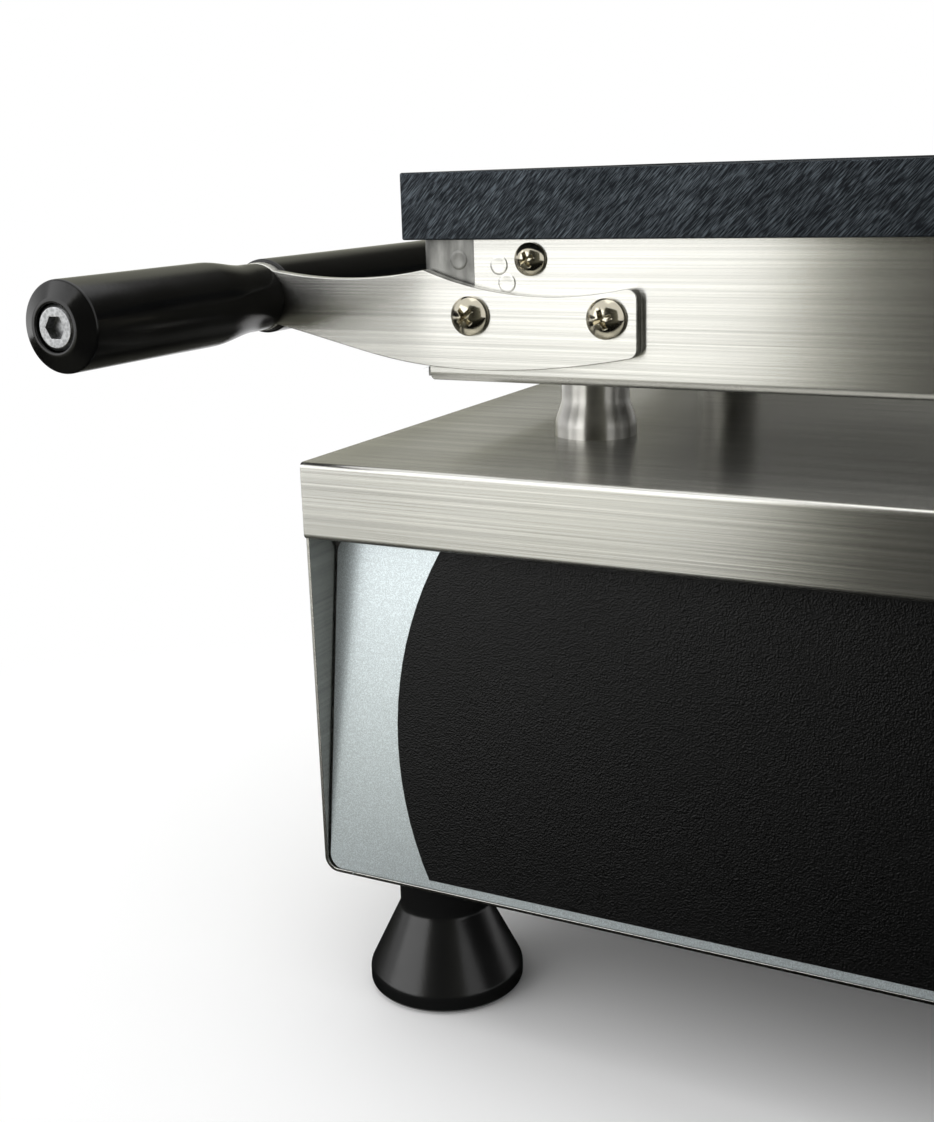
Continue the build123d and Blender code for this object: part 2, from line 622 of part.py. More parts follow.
def control_body(x, height, depth):
    """A timer or thermostat behind the panel, with its spindle through it."""
    top = OVERLAY_THICKNESS + KNOB_GAP + KNOB_BORE_DEPTH - 1
    body = Pos(0, 0, -PANEL_SHEET - depth / 2) * Box(CONTROL_WIDTH, height, depth)
    body = fillet(body.edges().filter_by(Axis.Z), CONTROL_CORNER)
    for tab in (-CONTROL_TAB_SPACING / 2, CONTROL_TAB_SPACING / 2):
        root = Pos(tab, CONTROL_TAB_INSET - height / 2, -PANEL_SHEET - depth)
        body += root * Box(TAB_THICKNESS, TAB_WIDTH, 2 * TAB_LENGTH)
    spindle = Pos(0, 0, (top - PANEL_SHEET - 2) / 2) * Cylinder(SPINDLE_RADIUS, top + PANEL_SHEET + 2)
    return control_place(x) * (body + spindle)


def knob(x):
    """A skirted knob with a grip bar and a pointer groove, bored for its spindle."""
    skirt = turned([
        (0, 0), (KNOB_RADIUS, 0), (KNOB_RADIUS, KNOB_SKIRT_HEIGHT - 1), (KNOB_RADIUS - 1, KNOB_SKIRT_HEIGHT),
        (KNOB_TOP_RADIUS, KNOB_SKIRT_HEIGHT + 1), (KNOB_TOP_RADIUS - 1, KNOB_HEIGHT - 5), (0, KNOB_HEIGHT - 5),
    ])
    bar = Pos(0, 0, KNOB_HEIGHT / 2 + 1) * Box(KNOB_BAR_WIDTH, 2 * KNOB_TOP_RADIUS - 2, KNOB_HEIGHT - 2)
    bar = fillet(bar.edges().group_by(Axis.Z)[-1], 1.5)
    bore = Cylinder(SPINDLE_RADIUS + SPINDLE_CLEARANCE, 2 * KNOB_BORE_DEPTH)
    pointer = Pos(0, KNOB_TOP_RADIUS * 0.62, KNOB_HEIGHT) * Box(1.6, KNOB_TOP_RADIUS * 0.62, 1.2)
    return control_place(x, 0, OVERLAY_THICKNESS + KNOB_GAP) * (skirt + bar - bore - pointer)


def power_switch():
    """The switch housing: a bezel on the overlay and a hollow body behind it."""
    bezel_w, bezel_h, bezel_t = SWITCH_BEZEL
    body_w, body_h, body_d = SWITCH_BODY
    front = OVERLAY_THICKNESS
    bezel = Pos(0, 0, front + bezel_t / 2) * Box(bezel_w, bezel_h, bezel_t)
    bezel = fillet(bezel.edges().filter_by(Axis.Z), 2)
    body = Pos(0, 0, front - body_d / 2) * Box(body_w, body_h, body_d)
    recess_top = front + bezel_t
    recess = Pos(0, 0, recess_top - SWITCH_RECESS_DEPTH / 2) * Box(
        body_w - 2 * SWITCH_WALL, body_h - 2 * SWITCH_WALL, SWITCH_RECESS_DEPTH
    )
    housing = bezel + body - recess
    housing -= rocker_pin(ROCKER_PIN_RADIUS + SPINDLE_CLEARANCE, body_w - SWITCH_WALL)
    for tab in (-SWITCH_TAB_SPACING / 2, SWITCH_TAB_SPACING / 2):
        housing += Pos(0, tab, front - body_d) * Box(TAB_WIDTH, TAB_THICKNESS, TAB_LENGTH)
    return control_place(SWITCH_X) * housing


def rocker_pin(radius, length):
    return Pos(0, 0, rocker_pivot()) * Rot(0, 90, 0) * Cylinder(radius, length)


def rocker_pivot():
    return OVERLAY_THICKNESS + SWITCH_BEZEL[2] - ROCKER_PIVOT_DEPTH


def switch_rocker():
    """The rocker in its off position, tilted about its pin."""
    h = ROCKER_HALF_HEIGHT
    rise = ROCKER_PIVOT_DEPTH + 3
    side = make_face(Polyline(
        (0, -h, rise), (0, 0, rise - 1.8), (0, h, rise), (0, h, 1.5), (0, 4, -5), (0, -4, -5), (0, -h, 1.5),
        close=True,
    ))
    width = SWITCH_BODY[0] - 2 * SWITCH_WALL - 2 * ROCKER_SIDE_GAP
    rocker = extrude(side, width / 2, both=True, dir=(1, 0, 0))
    pin = Rot(0, 90, 0) * Cylinder(ROCKER_PIN_RADIUS, SWITCH_BODY[0] - SWITCH_WALL - 0.4)
    return control_place(SWITCH_X) * Pos(0, 0, rocker_pivot()) * Rot(-ROCKER_TILT, 0, 0) * (rocker + pin)


def pilot_lamps():
    """Two round pilot lamps, each a bezel, a domed lens and a body behind the panel."""
    lamp = domed([
        (0, -LAMP_BODY_LENGTH), (LAMP_RADIUS, -LAMP_BODY_LENGTH), (LAMP_RADIUS, 0), (LAMP_BEZEL_RADIUS, 0),
        (LAMP_BEZEL_RADIUS - 0.4, LAMP_BEZEL_HEIGHT), (LAMP_RADIUS, LAMP_BEZEL_HEIGHT),
    ], LAMP_BEZEL_HEIGHT + LAMP_LENS_RISE)
    return [control_place(LAMPS_X, up, OVERLAY_THICKNESS) * lamp for up in lamp_offsets()]


def terminal_block():
    """The mains terminals on the floor, beside the gland."""
    w, d, h = TERMINAL_BLOCK
    y = REAR_PANEL_Y - TERMINAL_BLOCK_FROM_REAR
    block = span((GLAND_X - w / 2, GLAND_X + w / 2), (y - d / 2, y + d / 2), (SHELL_FLOOR, SHELL_FLOOR + h))
    pitch = w / TERMINAL_POLES
    for pole in range(TERMINAL_POLES):
        x = GLAND_X - w / 2 + pitch * (pole + 0.5)
        block -= along_y(2.5, x, SHELL_FLOOR + h * 0.45, y - d, y + d)
        block -= upright(2.2, x, y - d / 4, SHELL_FLOOR + h * 0.45, SHELL_FLOOR + h + 1)
    return block


def cable_gland():
    """The inlet of the mains lead: hexagon and dome outside, thread and lock nut inside."""
    dome_end = GLAND_HEX_LENGTH + GLAND_DOME_LENGTH
    dome = turned([
        (GLAND_BORE_RADIUS, GLAND_HEX_LENGTH), (GLAND_DOME_RADIUS, GLAND_HEX_LENGTH),
        (GLAND_DOME_RADIUS, dome_end - 5), (GLAND_BORE_RADIUS + 2, dome_end), (GLAND_BORE_RADIUS, dome_end),
    ])
    inside = -BASE_SHEET - GLAND_THREAD_LENGTH
    body = hexagon(GLAND_HEX_WIDTH, GLAND_HEX_LENGTH) + upright(GLAND_THREAD_RADIUS, 0, 0, inside, 1)
    lock = Pos(0, 0, -BASE_SHEET - GLAND_NUT_LENGTH) * hexagon(GLAND_HEX_WIDTH, GLAND_NUT_LENGTH)
    bore = upright(GLAND_BORE_RADIUS, 0, 0, inside - 1, dome_end + 1)
    return seated(GLAND_X, REAR_PANEL_Y, GLAND_Z, (0, 1, 0)) * (body + lock + dome - bore)


# Irons. Each is drawn on the left, and the right one is its mirror image.

def lug_places():
    """Where the casing is screwed to the plate's lugs: X from the iron's middle, and the side."""
    x = CASING_OUTER + IRON_X - CASING_SHEET - END_CAP_FLANGE - LUG_WIDTH / 2
    return [(offset, side) for offset in (-x, x) for side in FRONT_AND_REAR]


def plate():
    """The cast plate with its waffle cavities, screw lugs, clamp bosses and bulb pocket."""
    body = Pos(IRON_X, 0, (CASING_TOP + PLATE_TOP) / 2) * Box(PLATE_WIDTH, PLATE_DEPTH, PLATE_THICKNESS)
    body = chamfer(body.edges(), PLATE_GROUND_EDGE)
    first = -(CAVITIES - 1) * (CAVITY_WIDTH + CAVITY_SPACING) / 2
    for index in range(CAVITIES):
        body -= Pos(IRON_X + first + index * (CAVITY_WIDTH + CAVITY_SPACING), 0, PLATE_TOP) * cavity()
    for offset, side in lug_places():
        inside = side * (CASING_FACE - CASING_SHEET)
        body += span(
            (IRON_X + offset - LUG_WIDTH / 2, IRON_X + offset + LUG_WIDTH / 2),
            (inside - side * LUG_DEPTH, inside),
            (CASING_TOP - LUG_HEIGHT, CASING_TOP + 1),
        )
    for x in (-HEATER_PASS_SPACING, HEATER_PASS_SPACING):
        for side in FRONT_AND_REAR:
            body += upright(BOSS_RADIUS, IRON_X + x, side * BOSS_SPACING_Y / 2, CLAMP_TOP, CASING_TOP + 1)
    half_rib = BULB_RIB_WIDTH / 2
    body += span((IRON_X - half_rib, IRON_X + half_rib), (-BULB_RIB_LENGTH / 2, BULB_RIB_LENGTH / 2),
                 (CLAMP_TOP, CASING_TOP + 1))
    bulb_z = CASING_TOP - HEATER_RADIUS
    body -= along_y(BULB_RADIUS + BULB_CLEARANCE, IRON_X, bulb_z, BULB_RIB_LENGTH / 2 - BULB_LENGTH, BULB_RIB_LENGTH)
    for offset, side in lug_places():
        body -= along_y(M5_RADIUS, IRON_X + offset, casing_screw_z(), side * CASING_FACE,
                        side * (CASING_FACE - M5_LENGTH))
    return body


def cavity():
    """What is taken out of the plate for one waffle: a drafted pocket less its studs."""
    pocket_top = Rectangle(CAVITY_WIDTH, CAVITY_LENGTH)
    pocket = extrude(pocket_top, CAVITY_DEPTH, dir=(0, 0, -1), taper=CAVITY_DRAFT)
    pocket += extrude(pocket_top, 1)
    draft = CAVITY_DEPTH * math.tan(math.radians(CAVITY_DRAFT))
    pitch_x = (CAVITY_WIDTH - 2 * draft) / CAVITY_COLUMNS
    pitch_y = (CAVITY_LENGTH - 2 * draft) / CAVITY_ROWS
    stud_foot = Rectangle(pitch_x - STUD_GROOVE, pitch_y - STUD_GROOVE)
    stud = extrude(stud_foot, STUD_HEIGHT, taper=STUD_DRAFT)
    studs = [Pos(spot.position.X, spot.position.Y, -CAVITY_DEPTH) * stud
             for spot in GridLocations(pitch_x, pitch_y, CAVITY_COLUMNS, CAVITY_ROWS)]
    return pocket - studs


def casing_screw_z():
    return CASING_TOP - M5_HEAD_RADIUS - 1


def bracket_screw_places():
    """X and Z of the two screws in each handle bracket."""
    return [(-(CASING_OUTER - inset), BAR_Z - BRACKET_SCREW_DROP) for inset in BRACKET_SCREW_INSETS]


def ear_screw_places():
    """X and Z of the two screws in each hinge ear."""
    z = ear_bottom() + EAR_HEIGHT / 2
    return [(-EAR_SCREW_X + step * EAR_SCREW_SPACING / 2, z) for step in (-1, 1)]


def ear_bottom():
    return CASING_BOTTOM + CASING_BEND + 4


def wall_holes(clearance):
    """Holes of every screw that passes the casing's front and rear walls."""
    reach = 2 * CASING_FACE
    holes = []
    for x, z in bracket_screw_places():
        holes.append(along_y(M6_RADIUS + clearance, x, z, -reach, reach))
    for x, z in ear_screw_places():
        holes.append(along_y(M5_RADIUS + clearance, x, z, -reach, reach))
    for offset, side in lug_places():
        holes.append(along_y(M5_RADIUS + clearance, IRON_X + offset, casing_screw_z(), 0, side * reach))
    return holes


def casing():
    """The folded casing: floor, front, rear and inner end in one sheet, open towards its end cap."""
    x_outer = -(CASING_OUTER - END_CAP_SETBACK)
    outer = span((x_outer, -CASING_INNER), (-CASING_FACE, CASING_FACE), (CASING_BOTTOM, CASING_TOP))
    outer = fillet(outer.edges().filter_by(Axis.X).group_by(Axis.Z)[0], CASING_BEND)
    face_inside = CASING_FACE - CASING_SHEET
    inner = span((x_outer - 1, -CASING_INNER - CASING_SHEET), (-face_inside, face_inside),
                 (CASING_BOTTOM + CASING_SHEET, CASING_TOP + 1))
    inner = fillet(inner.edges().filter_by(Axis.X).group_by(Axis.Z)[0], CASING_BEND - CASING_SHEET)
    notch = span((x_outer - 1, -(CASING_OUTER - CASING_NOTCH)), (-BASE_DEPTH, BASE_DEPTH),
                 (CASING_TOP - CASING_NOTCH_DEPTH, CASING_TOP + 1))
    return outer - inner - notch - wall_holes(SCREW_HOLE_CLEARANCE)


def end_cap():
    """The outer end wall, whose flanges lie behind the casing's front and rear walls."""
    face = CASING_FACE - CASING_SHEET
    bottom = CASING_BOTTOM + CASING_SHEET
    outer = span((-CASING_OUTER, -CASING_OUTER + END_CAP_FLANGE), (-face, face), (bottom, CASING_TOP))
    outer = fillet(outer.edges().filter_by(Axis.Z).group_by(Axis.X)[0], CASING_BEND)
    inside = face - CASING_SHEET
    inner = span((-CASING_OUTER + CASING_SHEET, -CASING_OUTER + 2 * END_CAP_FLANGE), (-inside, inside),
                 (bottom - 1, CASING_TOP + 1))
    inner = fillet(inner.edges().filter_by(Axis.Z).group_by(Axis.X)[0], CASING_BEND - CASING_SHEET)
    cap = outer - inner - wall_holes(SCREW_HOLE_CLEARANCE)
    bend_room = span((-BASE_WIDTH, 0), (-BASE_DEPTH, BASE_DEPTH), (0, CASING_BOTTOM + CASING_BEND))
    floor_part = span((-CASING_OUTER, -CASING_OUTER + CASING_SHEET), (-inside, inside),
                      (bottom, CASING_BOTTOM + CASING_BEND + 1))
    return cap - bend_room + floor_part


def heater():
    """The tubular element: four passes under the plate, with a terminal pin at each end."""
    far, near = HEATER_PASSES
    end = HEATER_HALF_LENGTH + HEATER_TAIL
    half = HEATER_HALF_LENGTH
    path = FilletPolyline(
        (far, end, 0), (far, -half, 0), (near, -half, 0), (near, half, 0),
        (-near, half, 0), (-near, -half, 0), (-far, -half, 0), (-far, end, 0),
        radius=HEATER_BEND,
    )
    section = Plane(origin=(far, end, 0), z_dir=(0, -1, 0)) * Circle(HEATER_RADIUS)
    element = sweep(section, path=path)
    for x in (-far, far):
        element += along_y(TERMINAL_RADIUS, x, 0, end - 1, end + TERMINAL_LENGTH)
    return Pos(IRON_X, 0, CASING_TOP - HEATER_RADIUS) * element


def heater_clamp():
    """The sheet that holds the element against the plate."""
    return Pos(IRON_X, 0, CLAMP_TOP - CLAMP_SHEET / 2) * Box(CLAMP_WIDTH, CLAMP_DEPTH, CLAMP_SHEET)


def insulation():
    """The mineral wool pad on the casing's floor."""
    gap = CASING_SHEET + CASING_BEND + INSULATION_CLEARANCE
    bottom = CASING_BOTTOM + CASING_SHEET
    pad = span(
        (-CASING_OUTER + gap, -CASING_INNER - gap), (-CASING_FACE + gap, CASING_FACE - gap),
        (bottom, bottom + INSULATION_THICKNESS),
    )
    for x, z in bracket_screw_places() + ear_screw_places():
        for side in FRONT_AND_REAR:
            pad -= along_y(M6_NUT_WIDTH, x, z, side * CASING_FACE, side * (CASING_FACE - 2 * M6_LENGTH))
    return pad


def sensor_bulb():
    """The capillary bulb in the plate's pocket."""
    bulb = along_y(BULB_RADIUS, 0, 0, BULB_RIB_LENGTH / 2 - BULB_LENGTH, BULB_RIB_LENGTH / 2)
    tube = along_y(BULB_RADIUS / 3, 0, 0, BULB_RIB_LENGTH / 2, BULB_RIB_LENGTH / 2 + CAPILLARY_LENGTH)
    return Pos(IRON_X, 0, CASING_TOP - HEATER_RADIUS) * (bulb + tube)


def casing_screws(ear_offset):
    """Pan-head screws of the casing's lugs and of the hinge ears, front and rear."""
    short = pan_head_screw(M5_RADIUS, M5_LENGTH, M5_HEAD_RADIUS, M5_HEAD_HEIGHT)
    grip = EAR_THICKNESS + ear_offset
    long = pan_head_screw(M5_RADIUS, M5_LENGTH + grip, M5_HEAD_RADIUS, M5_HEAD_HEIGHT)
    screws = [seated(IRON_X + offset, side * CASING_FACE, casing_screw_z(), (0, side, 0)) * short
              for offset, side in lug_places()]
    for side in FRONT_AND_REAR:
        for x, z in ear_screw_places():
            screws.append(seated(x, side * (CASING_FACE + grip), z, (0, side, 0)) * long)
    return screws


def handle_bracket(side):
    """The curved flat bracket between the casing's wall and the handle bar."""
    bar = (BAR_X, BAR_Z)
    peak = (-(CASING_OUTER - BRACKET_PEAK_INSET), BAR_Z + BRACKET_PEAK_RISE)
    tip_x = -(CASING_OUTER - BRACKET_OVERLAP)
    tip_top = (tip_x, BAR_Z + BRACKET_TIP_TOP)
    tip_bottom = (tip_x, BAR_Z - BRACKET_TIP_BOTTOM)
    end_x = bar[0] + BRACKET_END_RADIUS * math.cos(math.radians(BRACKET_END_SPREAD))
    end_rise = BRACKET_END_RADIUS * math.sin(math.radians(BRACKET_END_SPREAD))
    end_top = (end_x, bar[1] + end_rise)
    end_bottom = (end_x, bar[1] - end_rise)
    lower_edge = [(bar[0] + along, bar[1] - drop) for along, drop in BRACKET_LOWER_EDGE]
    outline = Sketch() + make_face([
        sagging(end_top, peak, BRACKET_LEFT_SAG),
        sagging(peak, tip_top, BRACKET_RIGHT_SAG),
        Line(tip_top, tip_bottom),
        Spline(end_bottom, *lower_edge, tip_bottom),
        ThreePointArc(end_bottom, (bar[0] - BRACKET_END_RADIUS, bar[1]), end_top),
    ])
    corners = outline.vertices().group_by(Axis.X)[-1]
    outline = fillet(corners, BRACKET_TIP_CORNER)
    solid = Plane(origin=(0, side * CASING_FACE, 0), x_dir=(1, 0, 0), z_dir=(0, -1, 0)) * extrude(
        outline, -side * BRACKET_THICKNESS
    )
    solid -= along_y(M8_RADIUS + SCREW_HOLE_CLEARANCE, BAR_X, BAR_Z, -GRIP_END, GRIP_END)
    for x, z in bracket_screw_places():
        solid -= along_y(M6_RADIUS + SCREW_HOLE_CLEARANCE, x, z, -GRIP_END, GRIP_END)
    return solid


def sagging(start, end, drop):
    """An arc between two points whose middle hangs below the straight line."""
    middle = ((start[0] + end[0]) / 2, (start[1] + end[1]) / 2 - drop)
    return ThreePointArc(start, middle, end)


def bracket_screws():
    """The larger pan-head screws of both brackets, each with its nut inside the casing."""
    screw = pan_head_screw(M6_RADIUS, M6_LENGTH, M6_HEAD_RADIUS, M6_HEAD_HEIGHT)
    stack = BRACKET_THICKNESS + 2 * CASING_SHEET
    inner_nut = Pos(0, 0, -stack - M6_NUT_HEIGHT) * nut(M6_NUT_WIDTH, M6_NUT_HEIGHT, M6_RADIUS)
    pieces = []
    for side in FRONT_AND_REAR:
        for index, (x, z) in enumerate(bracket_screw_places()):
            place = seated(x, side * BRACKET_FACE, z, (0, side, 0))
            behind_cap = index == 0
            shift = 0 if behind_cap else CASING_SHEET
            pieces += [place * screw, place * Pos(0, 0, shift) * inner_nut]
    return pieces


def handle_grip():
    """The turned grip in front of the bracket, with a recess for the bolt's head."""
    taper_start = GRIP_NECK_LENGTH + GRIP_TAPER_LENGTH
    middle = (GRIP_RADIUS + GRIP_NECK_RADIUS) / 2
    quarter = GRIP_TAPER_LENGTH / 2
    outline = make_face([
        Polyline((0, 0, 0), (GRIP_NECK_RADIUS, 0, 0), (GRIP_NECK_RADIUS, 0, GRIP_NECK_LENGTH)),
        Spline((GRIP_NECK_RADIUS, 0, GRIP_NECK_LENGTH), (middle, 0, GRIP_NECK_LENGTH + quarter),
               (GRIP_RADIUS, 0, taper_start), tangents=[(0, 0, 1), (0, 0, 1)]),
        Polyline((GRIP_RADIUS, 0, taper_start), (GRIP_RADIUS, 0, GRIP_LENGTH - GRIP_END_CHAMFER_LENGTH),
                 (GRIP_RADIUS - GRIP_END_CHAMFER_RADIUS, 0, GRIP_LENGTH), (0, 0, GRIP_LENGTH), (0, 0, 0)),
    ])
    grip = revolve(outline, Axis.Z)
    grip -= upright(M8_RADIUS + HANDLE_BOLT_CLEARANCE, 0, 0, -1, GRIP_LENGTH + 1)
    grip -= upright(GRIP_RECESS_RADIUS, 0, 0, GRIP_LENGTH - GRIP_RECESS_DEPTH, GRIP_LENGTH + 1)
    return seated(BAR_X, -BRACKET_FACE, BAR_Z, (0, -1, 0)) * grip


def handle_bar():
    """The round bar between the two brackets."""
    bar = along_y(BAR_RADIUS, BAR_X, BAR_Z, -CASING_FACE, CASING_FACE)
    return bar - along_y(M8_RADIUS + HANDLE_BOLT_CLEARANCE, BAR_X, BAR_Z, -GRIP_END, GRIP_END)


def handle_bolt():
    """The long socket-head bolt through grip, brackets and bar, and its dome nut at the rear."""
    seat = GRIP_LENGTH - GRIP_RECESS_DEPTH
    head = upright(M8_SOCKET_HEAD_RADIUS, 0, 0, seat, seat + M8_SOCKET_HEAD_HEIGHT)
    head = chamfer(head.edges().group_by(Axis.Z)[-1], 0.8)
    socket_bottom = seat + M8_SOCKET_HEAD_HEIGHT - M8_SOCKET_DEPTH
    socket = Pos(0, 0, socket_bottom) * hexagon(M8_SOCKET_WIDTH, M8_SOCKET_DEPTH + 1)
    rear = -(2 * BRACKET_FACE) - M8_HEX_HEIGHT
    bolt = head + upright(M8_RADIUS, 0, 0, rear, seat) - socket
    place = seated(BAR_X, -BRACKET_FACE, BAR_Z, (0, -1, 0))
    flats_top = M8_HEX_HEIGHT + HANDLE_NUT_RIM
    dome_radius = M8_HEX_WIDTH / 2 - HANDLE_NUT_RIM
    dome = hexagon(M8_HEX_WIDTH, flats_top) + domed(
        [(0, 0), (dome_radius, 0), (dome_radius, flats_top)], flats_top + HANDLE_NUT_DOME_HEIGHT
    )
    dome -= upright(M8_RADIUS, 0, 0, -1, M8_HEX_HEIGHT)
    return [place * bolt, seated(BAR_X, BRACKET_FACE, BAR_Z, (0, 1, 0)) * dome]


def hinge_ear(side, ear_offset):
    """The flat ear that carries an iron on the axle, with spacer pads where it stands off."""
    bottom = ear_bottom()
    top = bottom + EAR_HEIGHT
    far = -CASING_INNER - EAR_LENGTH
    neck_foot = CASING_TOP - 2 * CASING_BEND
    outline = Sketch() + make_face(Polyline(
        (far, bottom), (-EAR_RADIUS / 3, bottom), (EAR_RADIUS, neck_foot), (EAR_RADIUS, AXLE_Z),
        (-EAR_RADIUS, AXLE_Z), (-EAR_RADIUS, neck_foot), (-CASING_INNER, top), (far, top),
        close=True,
    ))
    outline += Pos(0, AXLE_Z) * Circle(EAR_RADIUS)
    near = CASING_FACE + ear_offset
    solid = Plane(origin=(0, side * near, 0), x_dir=(1, 0, 0), z_dir=(0, -1, 0)) * extrude(
        outline, -side * EAR_THICKNESS
    )
    for x, z in ear_screw_places():
        if ear_offset > 0:
            solid += along_y(M5_HEAD_RADIUS + 2, x, z, side * CASING_FACE, side * near)
    for x, z in ear_screw_places():
        solid -= along_y(M5_RADIUS + SCREW_HOLE_CLEARANCE, x, z, -BASE_DEPTH, BASE_DEPTH)
    return solid - along_y(AXLE_RADIUS + AXLE_CLEARANCE, 0, AXLE_Z, -BASE_DEPTH, BASE_DEPTH)


def iron(ear_offset, sensor):
    """Every piece of one iron, drawn on the left."""
    return {
        "casing": casing(),
        "end_cap": end_cap(),
        "plate": plate(),
        "heater": heater(),
        "heater_clamp": heater_clamp(),
        "insulation": insulation(),
        sensor: sensor_bulb(),
        "casing_screws": casing_screws(ear_offset),
        "bracket_front": handle_bracket(-1),
        "bracket_rear": handle_bracket(1),
        "bracket_screws": bracket_screws(),
        "handle_bar": handle_bar(),
        "handle_grip": handle_grip(),
        "handle_bolt": handle_bolt(),
        "hinge_ear_front": hinge_ear(-1, ear_offset),
        "hinge_ear_rear": hinge_ear(1, ear_offset),
    }


def base():
    """Every piece of the base and of its controls."""
    corner_names = ("front_left", "front_right", "rear_left", "rear_right")
    side_names = ("left_front", "left_rear", "right_front", "right_rear")
    pieces = {
        "base_shell": base_shell(),
        "top_cover": top_cover(),
        "front_panel": front_panel(),
        "fascia_overlay": fascia_overlay(),
        "rear_panel": rear_panel(),
        "rear_panel_screws": rear_panel_screws(),
        "base_bolts": base_bolts(),
        "hinge_pillar_front": hinge_pillar(-1),
        "hinge_pillar_rear": hinge_pillar(1),
        "hinge_axle": hinge_axle(),
        "axle_nuts": axle_nuts(),
        "timer": control_body(TIMER_X, TIMER_HEIGHT, TIMER_DEPTH),
        "timer_knob": knob(TIMER_X),
        "thermostat": control_body(THERMOSTAT_X, THERMOSTAT_HEIGHT, THERMOSTAT_DEPTH),
        "thermostat_knob": knob(THERMOSTAT_X),
        "power_switch": power_switch(),
        "switch_rocker": switch_rocker(),
        "pilot_lamps": pilot_lamps(),
        "terminal_block": terminal_block(),
        "cable_gland": cable_gland(),
    }
    for name, (x, y) in zip(corner_names, foot_places()):
        pieces["foot_" + name] = foot(x, y)
    for name, (x, y) in zip(side_names, post_places()):
        pieces["support_post_" + name] = post(x, y)
    return pieces


def as_solids(piece):
    """The separate solids of a piece, or of a group of pieces."""
    group = piece if isinstance(piece, list) else [piece]
    return [solid for member in group for solid in member.solids()]


def moved(piece, mirrored):
    """A piece in the finished model's frame, mirrored for the right iron."""
    solids = as_solids(piece)
    if mirrored:
        solids = [mirror(solid, about=Plane.YZ) for solid in solids]
    solids = [Pos(0, MID_Y, 0) * solid for solid in solids]
    return solids[0] if len(solids) == 1 else Compound(children=solids)


def main():
    os.makedirs("parts", exist_ok=True)
    model = {name: moved(piece, False) for name, piece in base().items()}
    for name, piece in iron(0.0, "thermostat_bulb").items():
        model["left_" + name] = moved(piece, False)
    for name, piece in iron(EAR_STEP, "cutout_bulb").items():
        model["right_" + name] = moved(piece, True)
    for name, piece in model.items():
        export_step(piece, os.path.join("parts", name + ".step"))
    print("axle height", round(AXLE_Z, 3), "and shift along Y", round(MID_Y, 3), "nodes", len(model))


main()
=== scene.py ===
"""The looks of a rotating waffle maker: two irons that swing over each other on a wide sheet-steel base.

The file is laid out as an add-on. Each operator makes one piece or one group of like pieces, and reads its
sizes and colours from the property groups. Everything is in metres, +Z up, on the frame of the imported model.
"""

import json
import math
from functools import cache, partial

import bmesh
import bpy
from bpy.props import FloatProperty, FloatVectorProperty, IntProperty, PointerProperty
from mathutils import Matrix, Vector

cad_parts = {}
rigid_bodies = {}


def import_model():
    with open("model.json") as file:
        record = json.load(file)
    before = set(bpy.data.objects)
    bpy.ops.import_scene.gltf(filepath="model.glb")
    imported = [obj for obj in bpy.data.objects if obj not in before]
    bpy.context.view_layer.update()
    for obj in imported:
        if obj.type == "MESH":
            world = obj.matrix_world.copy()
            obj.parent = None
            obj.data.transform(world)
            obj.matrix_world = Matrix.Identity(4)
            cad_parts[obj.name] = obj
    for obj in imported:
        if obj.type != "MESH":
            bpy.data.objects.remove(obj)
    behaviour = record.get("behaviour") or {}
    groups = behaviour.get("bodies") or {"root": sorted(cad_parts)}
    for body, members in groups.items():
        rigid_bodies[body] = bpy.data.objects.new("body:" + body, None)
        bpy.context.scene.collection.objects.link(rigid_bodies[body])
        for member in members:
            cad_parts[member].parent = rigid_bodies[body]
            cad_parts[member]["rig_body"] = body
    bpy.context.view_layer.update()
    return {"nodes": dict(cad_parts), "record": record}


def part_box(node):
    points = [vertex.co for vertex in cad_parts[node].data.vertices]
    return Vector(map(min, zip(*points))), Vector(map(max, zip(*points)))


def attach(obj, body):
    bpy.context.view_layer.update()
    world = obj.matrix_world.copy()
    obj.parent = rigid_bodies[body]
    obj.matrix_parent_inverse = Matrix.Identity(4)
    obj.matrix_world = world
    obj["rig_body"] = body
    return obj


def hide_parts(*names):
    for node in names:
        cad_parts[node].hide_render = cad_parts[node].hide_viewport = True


bl_info = {
    "name": "Rotating waffle maker",
    "version": (1, 0, 0),
    "blender": (4, 5, 0),
    "location": "View3D > Sidebar > Waffle maker",
    "description": "Builds the pieces, finishes and studio of a rotating waffle maker",
    "category": "Add Mesh",
}

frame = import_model()
SLOT_OF = {row["node"]: row["material_slot"] for row in frame["record"]["subparts"]}
SIDES = ("left", "right")
MIRROR = {"left": -1, "right": 1}
ENDS = {"front": -1, "rear": 1}
UP = (0.0, 0.0, 1.0)
LEVEL = (0.0, 0.0, 0.0)
NO_MOVE = Matrix.Identity(4)
WHITE = (1.0, 1.0, 1.0, 1.0)
RAMP_START = 0.3
RAMP_END = 0.7
BASE_SHEET = 0.0012
PANEL_SHEET = 0.0015
FILM_SHEET = 0.0004
BOLT_CLEARANCE = 0.0002
END_CAP_FLANGE = 0.029
LUG_WIDTH = 0.016
MERGE_DISTANCE = 2e-6
FLAT_ANGLE = 0.01
FONT_SIZE_PER_HEIGHT = 1.4


def corner(node, which):
    """The lowest (0) or highest (1) corner of a node's box."""
    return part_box(node)[which]


def middle(node):
    """The middle of a node's box."""
    low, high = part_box(node)
    return (low + high) / 2


def outer_end(node):
    """How far a node reaches to the left or right from the middle of the machine."""
    return max(abs(point.x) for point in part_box(node))


def distance(name, description, default):
    """A length that the user may change, in metres."""
    return FloatProperty(name=name, description=description, default=default, min=0.0, subtype="DISTANCE",
                         unit="LENGTH", precision=5)


def share(name, description, default):
    """A number from 0 to 1."""
    return FloatProperty(name=name, description=description, default=default, min=0.0, max=1.0,
                         subtype="FACTOR")


